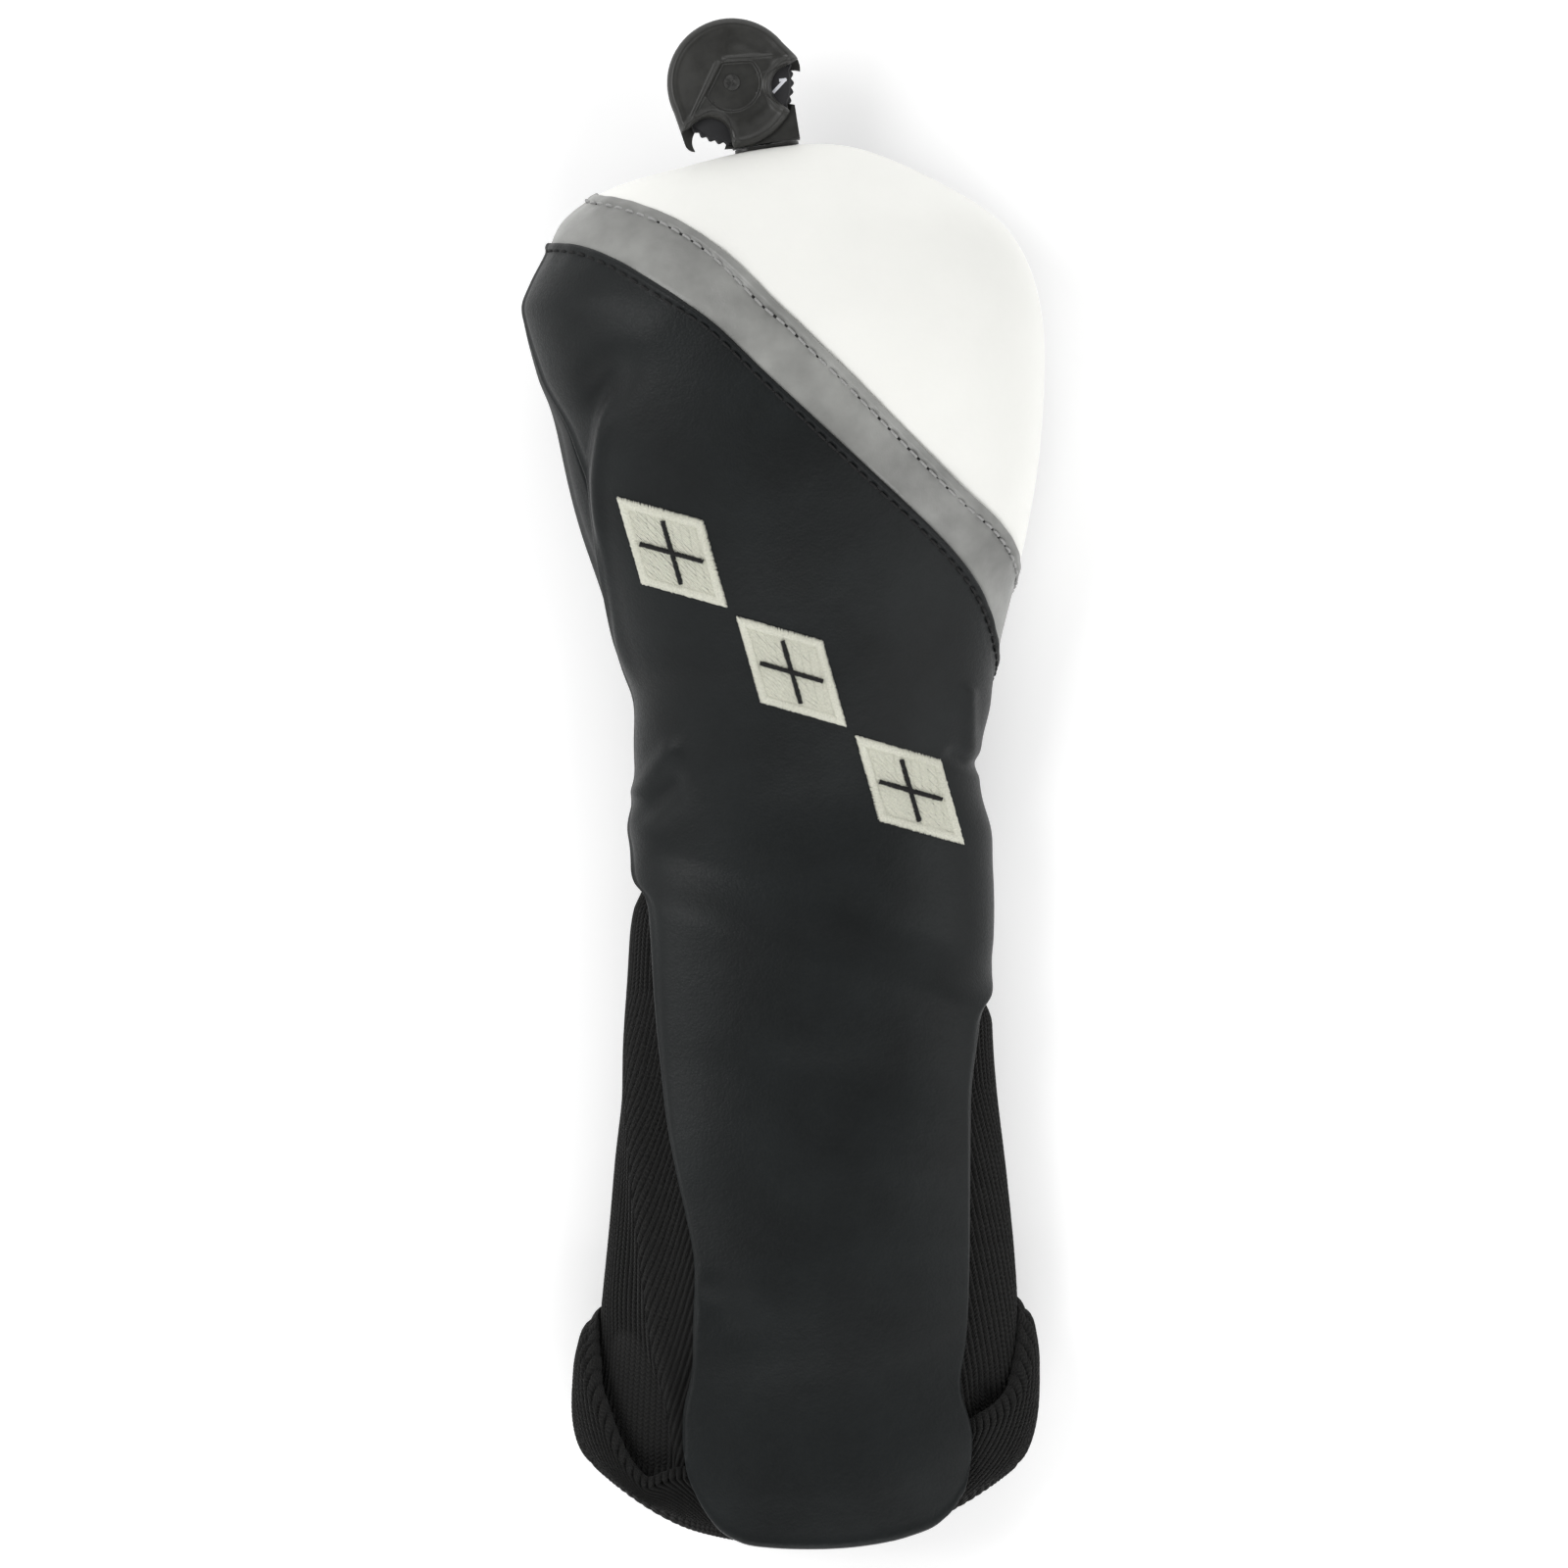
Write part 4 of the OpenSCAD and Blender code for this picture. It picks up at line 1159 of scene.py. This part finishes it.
# Where the case is drawn out beside its notches, as (out, angle, radius).
HORNS = ((18.2, 228, 2.6), (13.2, 8, 5.4))
NOTCH_OUT = 16.4
NOTCH_R = 5.9
NOTCH_ANGLES = (-12, 239.5)
NOTCH_LIP_TURN = 9
FRONT_LOW = 4.6
FRONT_HIGH = 6.4
RIVET_HOLE = 1.35
DIAL_R = 16.4
DIAL_LOW = 2.5
DIAL_HIGH = 4.3
DIAL_TEETH = 42
TOOTH = 0.7


def circle(angle):
    """The cosines and sines of angles in degrees, as two columns."""
    return cosd(angle)[:, None], sind(angle)[:, None]


def ray_exit(angle, centre_out, centre_angle, r):
    """Where a ray from the pivot leaves a circle, or 0 if it misses it."""
    turn = angle - centre_angle
    inside = r ** 2 - (centre_out * sind(turn)) ** 2
    far = centre_out * cosd(turn) + np.sqrt(np.clip(inside, 0, None))
    return np.where(inside > 0, far, 0)


def case_outline(angle):
    """Distance from the pivot to the front shell's edge at each angle."""
    out = np.full(angle.shape, CASE_R)
    for horn_out, horn_angle, horn_r in HORNS:
        for k in np.linspace(0, 1, 25):
            r = (CASE_R - 0.12) * (1 - k) + horn_r * k
            out = np.maximum(out, ray_exit(angle, k * horn_out, horn_angle, r))
    for middle in NOTCH_ANGLES:
        turn = angle - middle
        inside = NOTCH_R ** 2 - (NOTCH_OUT * sind(turn)) ** 2
        near = NOTCH_OUT * cosd(turn) - np.sqrt(np.clip(inside, 0, None))
        cut = (inside > 0) & (cosd(turn) > 0)
        out = np.where(cut, np.minimum(out, near), out)
    for _ in range(3):
        out = (np.roll(out, 1) + 2 * out + np.roll(out, -1)) / 4
    return out


def shell_relief(x, y, edge):
    """Height of the front shell's moulded face at x, y from the pivot."""
    r = np.hypot(x, y)
    across, along = segment(x, y, (-10.2, -9.2), (-3.0, 5.4))
    below_ledge = smooth((5.6 + 0.06 * x - y) / 0.7)
    plate = smooth((8.0 - r) / 0.8) * below_ledge * smooth((across - 0.2) / 0.7)
    h = 0.75 * (1 - (r / CASE_R) ** 2) - 0.95 * plate
    ledge = hump(6.4 + 0.06 * x - y, 0.5) * smooth(x / 2 + 1.5)
    h = h + 0.35 * ledge * smooth((12 - x) / 2)
    bar = smooth(along * 8 + 0.3) * smooth((1.02 - along) * 9)
    h = h + 0.85 * hump(across + 0.2, 0.35 + 0.3 * np.clip(along, 0, 1)) * bar
    h = h - 0.55 * hump(r - 11, 2.4) * smooth(x / 4 + 0.5)
    for middle in NOTCH_ANGLES:
        m = middle + NOTCH_LIP_TURN
        d = np.hypot(x - NOTCH_OUT * cosd(m), y - NOTCH_OUT * sind(m))
        h = h + 0.6 * hump(d - NOTCH_R - 1.1, 0.75)
    return h + 0.4 * hump(edge - 1.5, 0.8) - roll(edge, 1.25)


def lathe(name, loops, material, body, node):
    """A closed mesh from one loop of points round the pivot per angle."""
    c, s = cosd(POLE_TILT), sind(POLE_TILT)
    x, y, z = np.moveaxis(loops + [*PIVOT, 0], -1, 0)
    rings = POLE + np.stack([x * c - y * s, x * s + y * c, z], -1)
    closed_tube(name, rings, material, [node], body)


def tag_front_shell():
    angle = np.linspace(0, 360, 420, endpoint=False)
    edge = case_outline(angle)[:, None]
    share = 1 - (1 - np.linspace(0, 1, 80)[None, :]) ** 1.25
    r = RIVET_HOLE + (edge - RIVET_HOLE) * share
    c, s = circle(angle)
    face_c, face_s = circle(angle + POLE_TILT)
    height = FRONT_HIGH + shell_relief(r * face_c, r * face_s, edge - r)
    top = np.stack([r * c, r * s, height], -1)
    r = edge + (RIVET_HOLE - edge) * np.linspace(0.02, 1, 12)[None, :]
    under = np.stack([r * c, r * s, FRONT_LOW + 0 * r], -1)
    lathe("tag_front_moulding", np.concatenate([top, under], 1), "tag_plastic", "tag",
          "tag_front_shell")


def number_dial():
    """The toothed wheel that shows through the notches."""
    per_tooth = 12
    angle = np.arange(DIAL_TEETH * per_tooth) * 360 / (DIAL_TEETH * per_tooth)
    wave = 0.5 + 0.5 * np.cos(np.radians(angle * DIAL_TEETH))
    edge = (DIAL_R - TOOTH * (1 - wave ** 0.8))[:, None]
    c, s = circle(angle)
    # One loop: out along the top, round the edge, and back underneath, as
    # (radius or distance past the edge, height).
    face = [(1.36, 0), (7, 0), (8.2, 0), (9, 0), (14.9, 0), (15.1, -0.12), (15.3, 0)]
    rim = [(-0.35, 0), (-0.12, -0.07), (0, -0.3), (0, -1.5), (-0.12, -1.73),
           (-0.35, -1.8)]
    back = [(r, DIAL_LOW - DIAL_HIGH) for r in (12, 6, 1.36)]
    spots = [(r + 0 * edge, z) for r, z in face]
    spots += [(edge + d, z) for d, z in rim]
    spots += [(r + 0 * edge, z) for r, z in back]
    loops = [np.stack([r * c, r * s, DIAL_HIGH + z + 0 * c], -1) for r, z in spots]
    lathe("number_dial_wheel", np.concatenate(loops, 1), "dial_plastic", "dial",
          "number_dial")


CAD_FINISH = {
    "base_plate": "tag_plastic", "base_washer": "tag_plastic",
    "shoulder_screw": "steel", "tag_rear_shell": "tag_plastic",
    "dial_digits": "digit_ink", "pivot_rivet": "steel", "rivet_cap": "steel",
}


def finish_cad_parts():
    """Materials and rounded edges for the pieces kept as the frame has them."""
    for node, slot in CAD_FINISH.items():
        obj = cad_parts[node]
        obj.data.materials.clear()
        obj.data.materials.append(MATERIALS[slot])
        if node not in ("dial_digits", "base_washer"):
            bevel = obj.modifiers.new("edges", "BEVEL")
            bevel.width = 0.22 * MM
            bevel.segments = 2
            bevel.limit_method = "ANGLE"
            bevel.angle_limit = math.radians(35)


# ---- Room, light and camera ----
def room():
    mesh = bpy.data.meshes.new("floor")
    half = 3.0
    mesh.from_pydata([(-half, -half, 0), (half, -half, 0), (half, half, 0),
                      (-half, half, 0)], [], [(0, 1, 2, 3)])
    floor = linked("floor", mesh)
    Nodes("floor_paper", (0.93, 0.93, 0.93), 0.9, Emission_Color=(1, 1, 1, 1),
          Emission_Strength=0.3)
    mesh.materials.append(MATERIALS["floor_paper"])


def area_light(name, place, aim, size, power):
    data = bpy.data.lights.new(name, "AREA")
    data.shape = "RECTANGLE"
    data.size, data.size_y = size
    data.energy = power
    light = linked(name, data)
    light.location = place
    ahead = Vector(aim) - Vector(place)
    light.rotation_euler = ahead.to_track_quat("-Z", "Y").to_euler()


# The sky is bright near the horizon and dim overhead.
WORLD_RAMP = {"From Min": 0.15, "From Max": 0.95, "To Min": 0.95, "To Max": 0.10}
WORLD_STRENGTH = 1.08
CAMERA_LENS = 170
CAMERA_HEIGHT = 1.996


def lights():
    world = bpy.data.worlds.new("studio")
    bpy.context.scene.world = world
    world.use_nodes = True
    tree = world.node_tree
    back = tree.nodes["Background"]
    back.inputs["Strength"].default_value = WORLD_STRENGTH
    place = add_node(tree, "ShaderNodeTexCoord").outputs["Generated"]
    height = add_node(tree, "ShaderNodeSeparateXYZ", {"Vector": place}).outputs["Z"]
    ramp = add_node(tree, "ShaderNodeMapRange", {"Value": height, **WORLD_RAMP},
                    interpolation_type="SMOOTHSTEP")
    tree.links.new(ramp.outputs["Result"], back.inputs["Color"])
    area_light("key", (-1.05, 0.3, 1.35), (0, 0.02, 0.03), (0.9, 0.9), 12)
    area_light("fill", (1.15, -0.4, 1.2), (0, 0, 0.03), (1.0, 1.0), 6.5)
    area_light("low", (0.1, -1.3, 0.95), (0, -0.05, 0.03), (1.2, 0.6), 8)
    area_light("head", (0.1, 1.3, 1.0), (0, 0.05, 0.03), (1.2, 0.6), 4)


def camera():
    data = bpy.data.cameras.new("camera")
    data.lens = CAMERA_LENS
    data.sensor_width = 36
    cam = linked("camera", data)
    cam.location = (0, 0, CAMERA_HEIGHT)
    bpy.context.scene.camera = cam


camera()
front_panel()
accent_band()
crown_panel()
back_panel()
hidden_layers()
waist_elastic()
knit_sock()
tongue_backing()
topstitching()
emblem()
tag_front_shell()
number_dial()
finish_cad_parts()
room()
lights()
bpy.context.scene.view_settings.view_transform = "Standard"
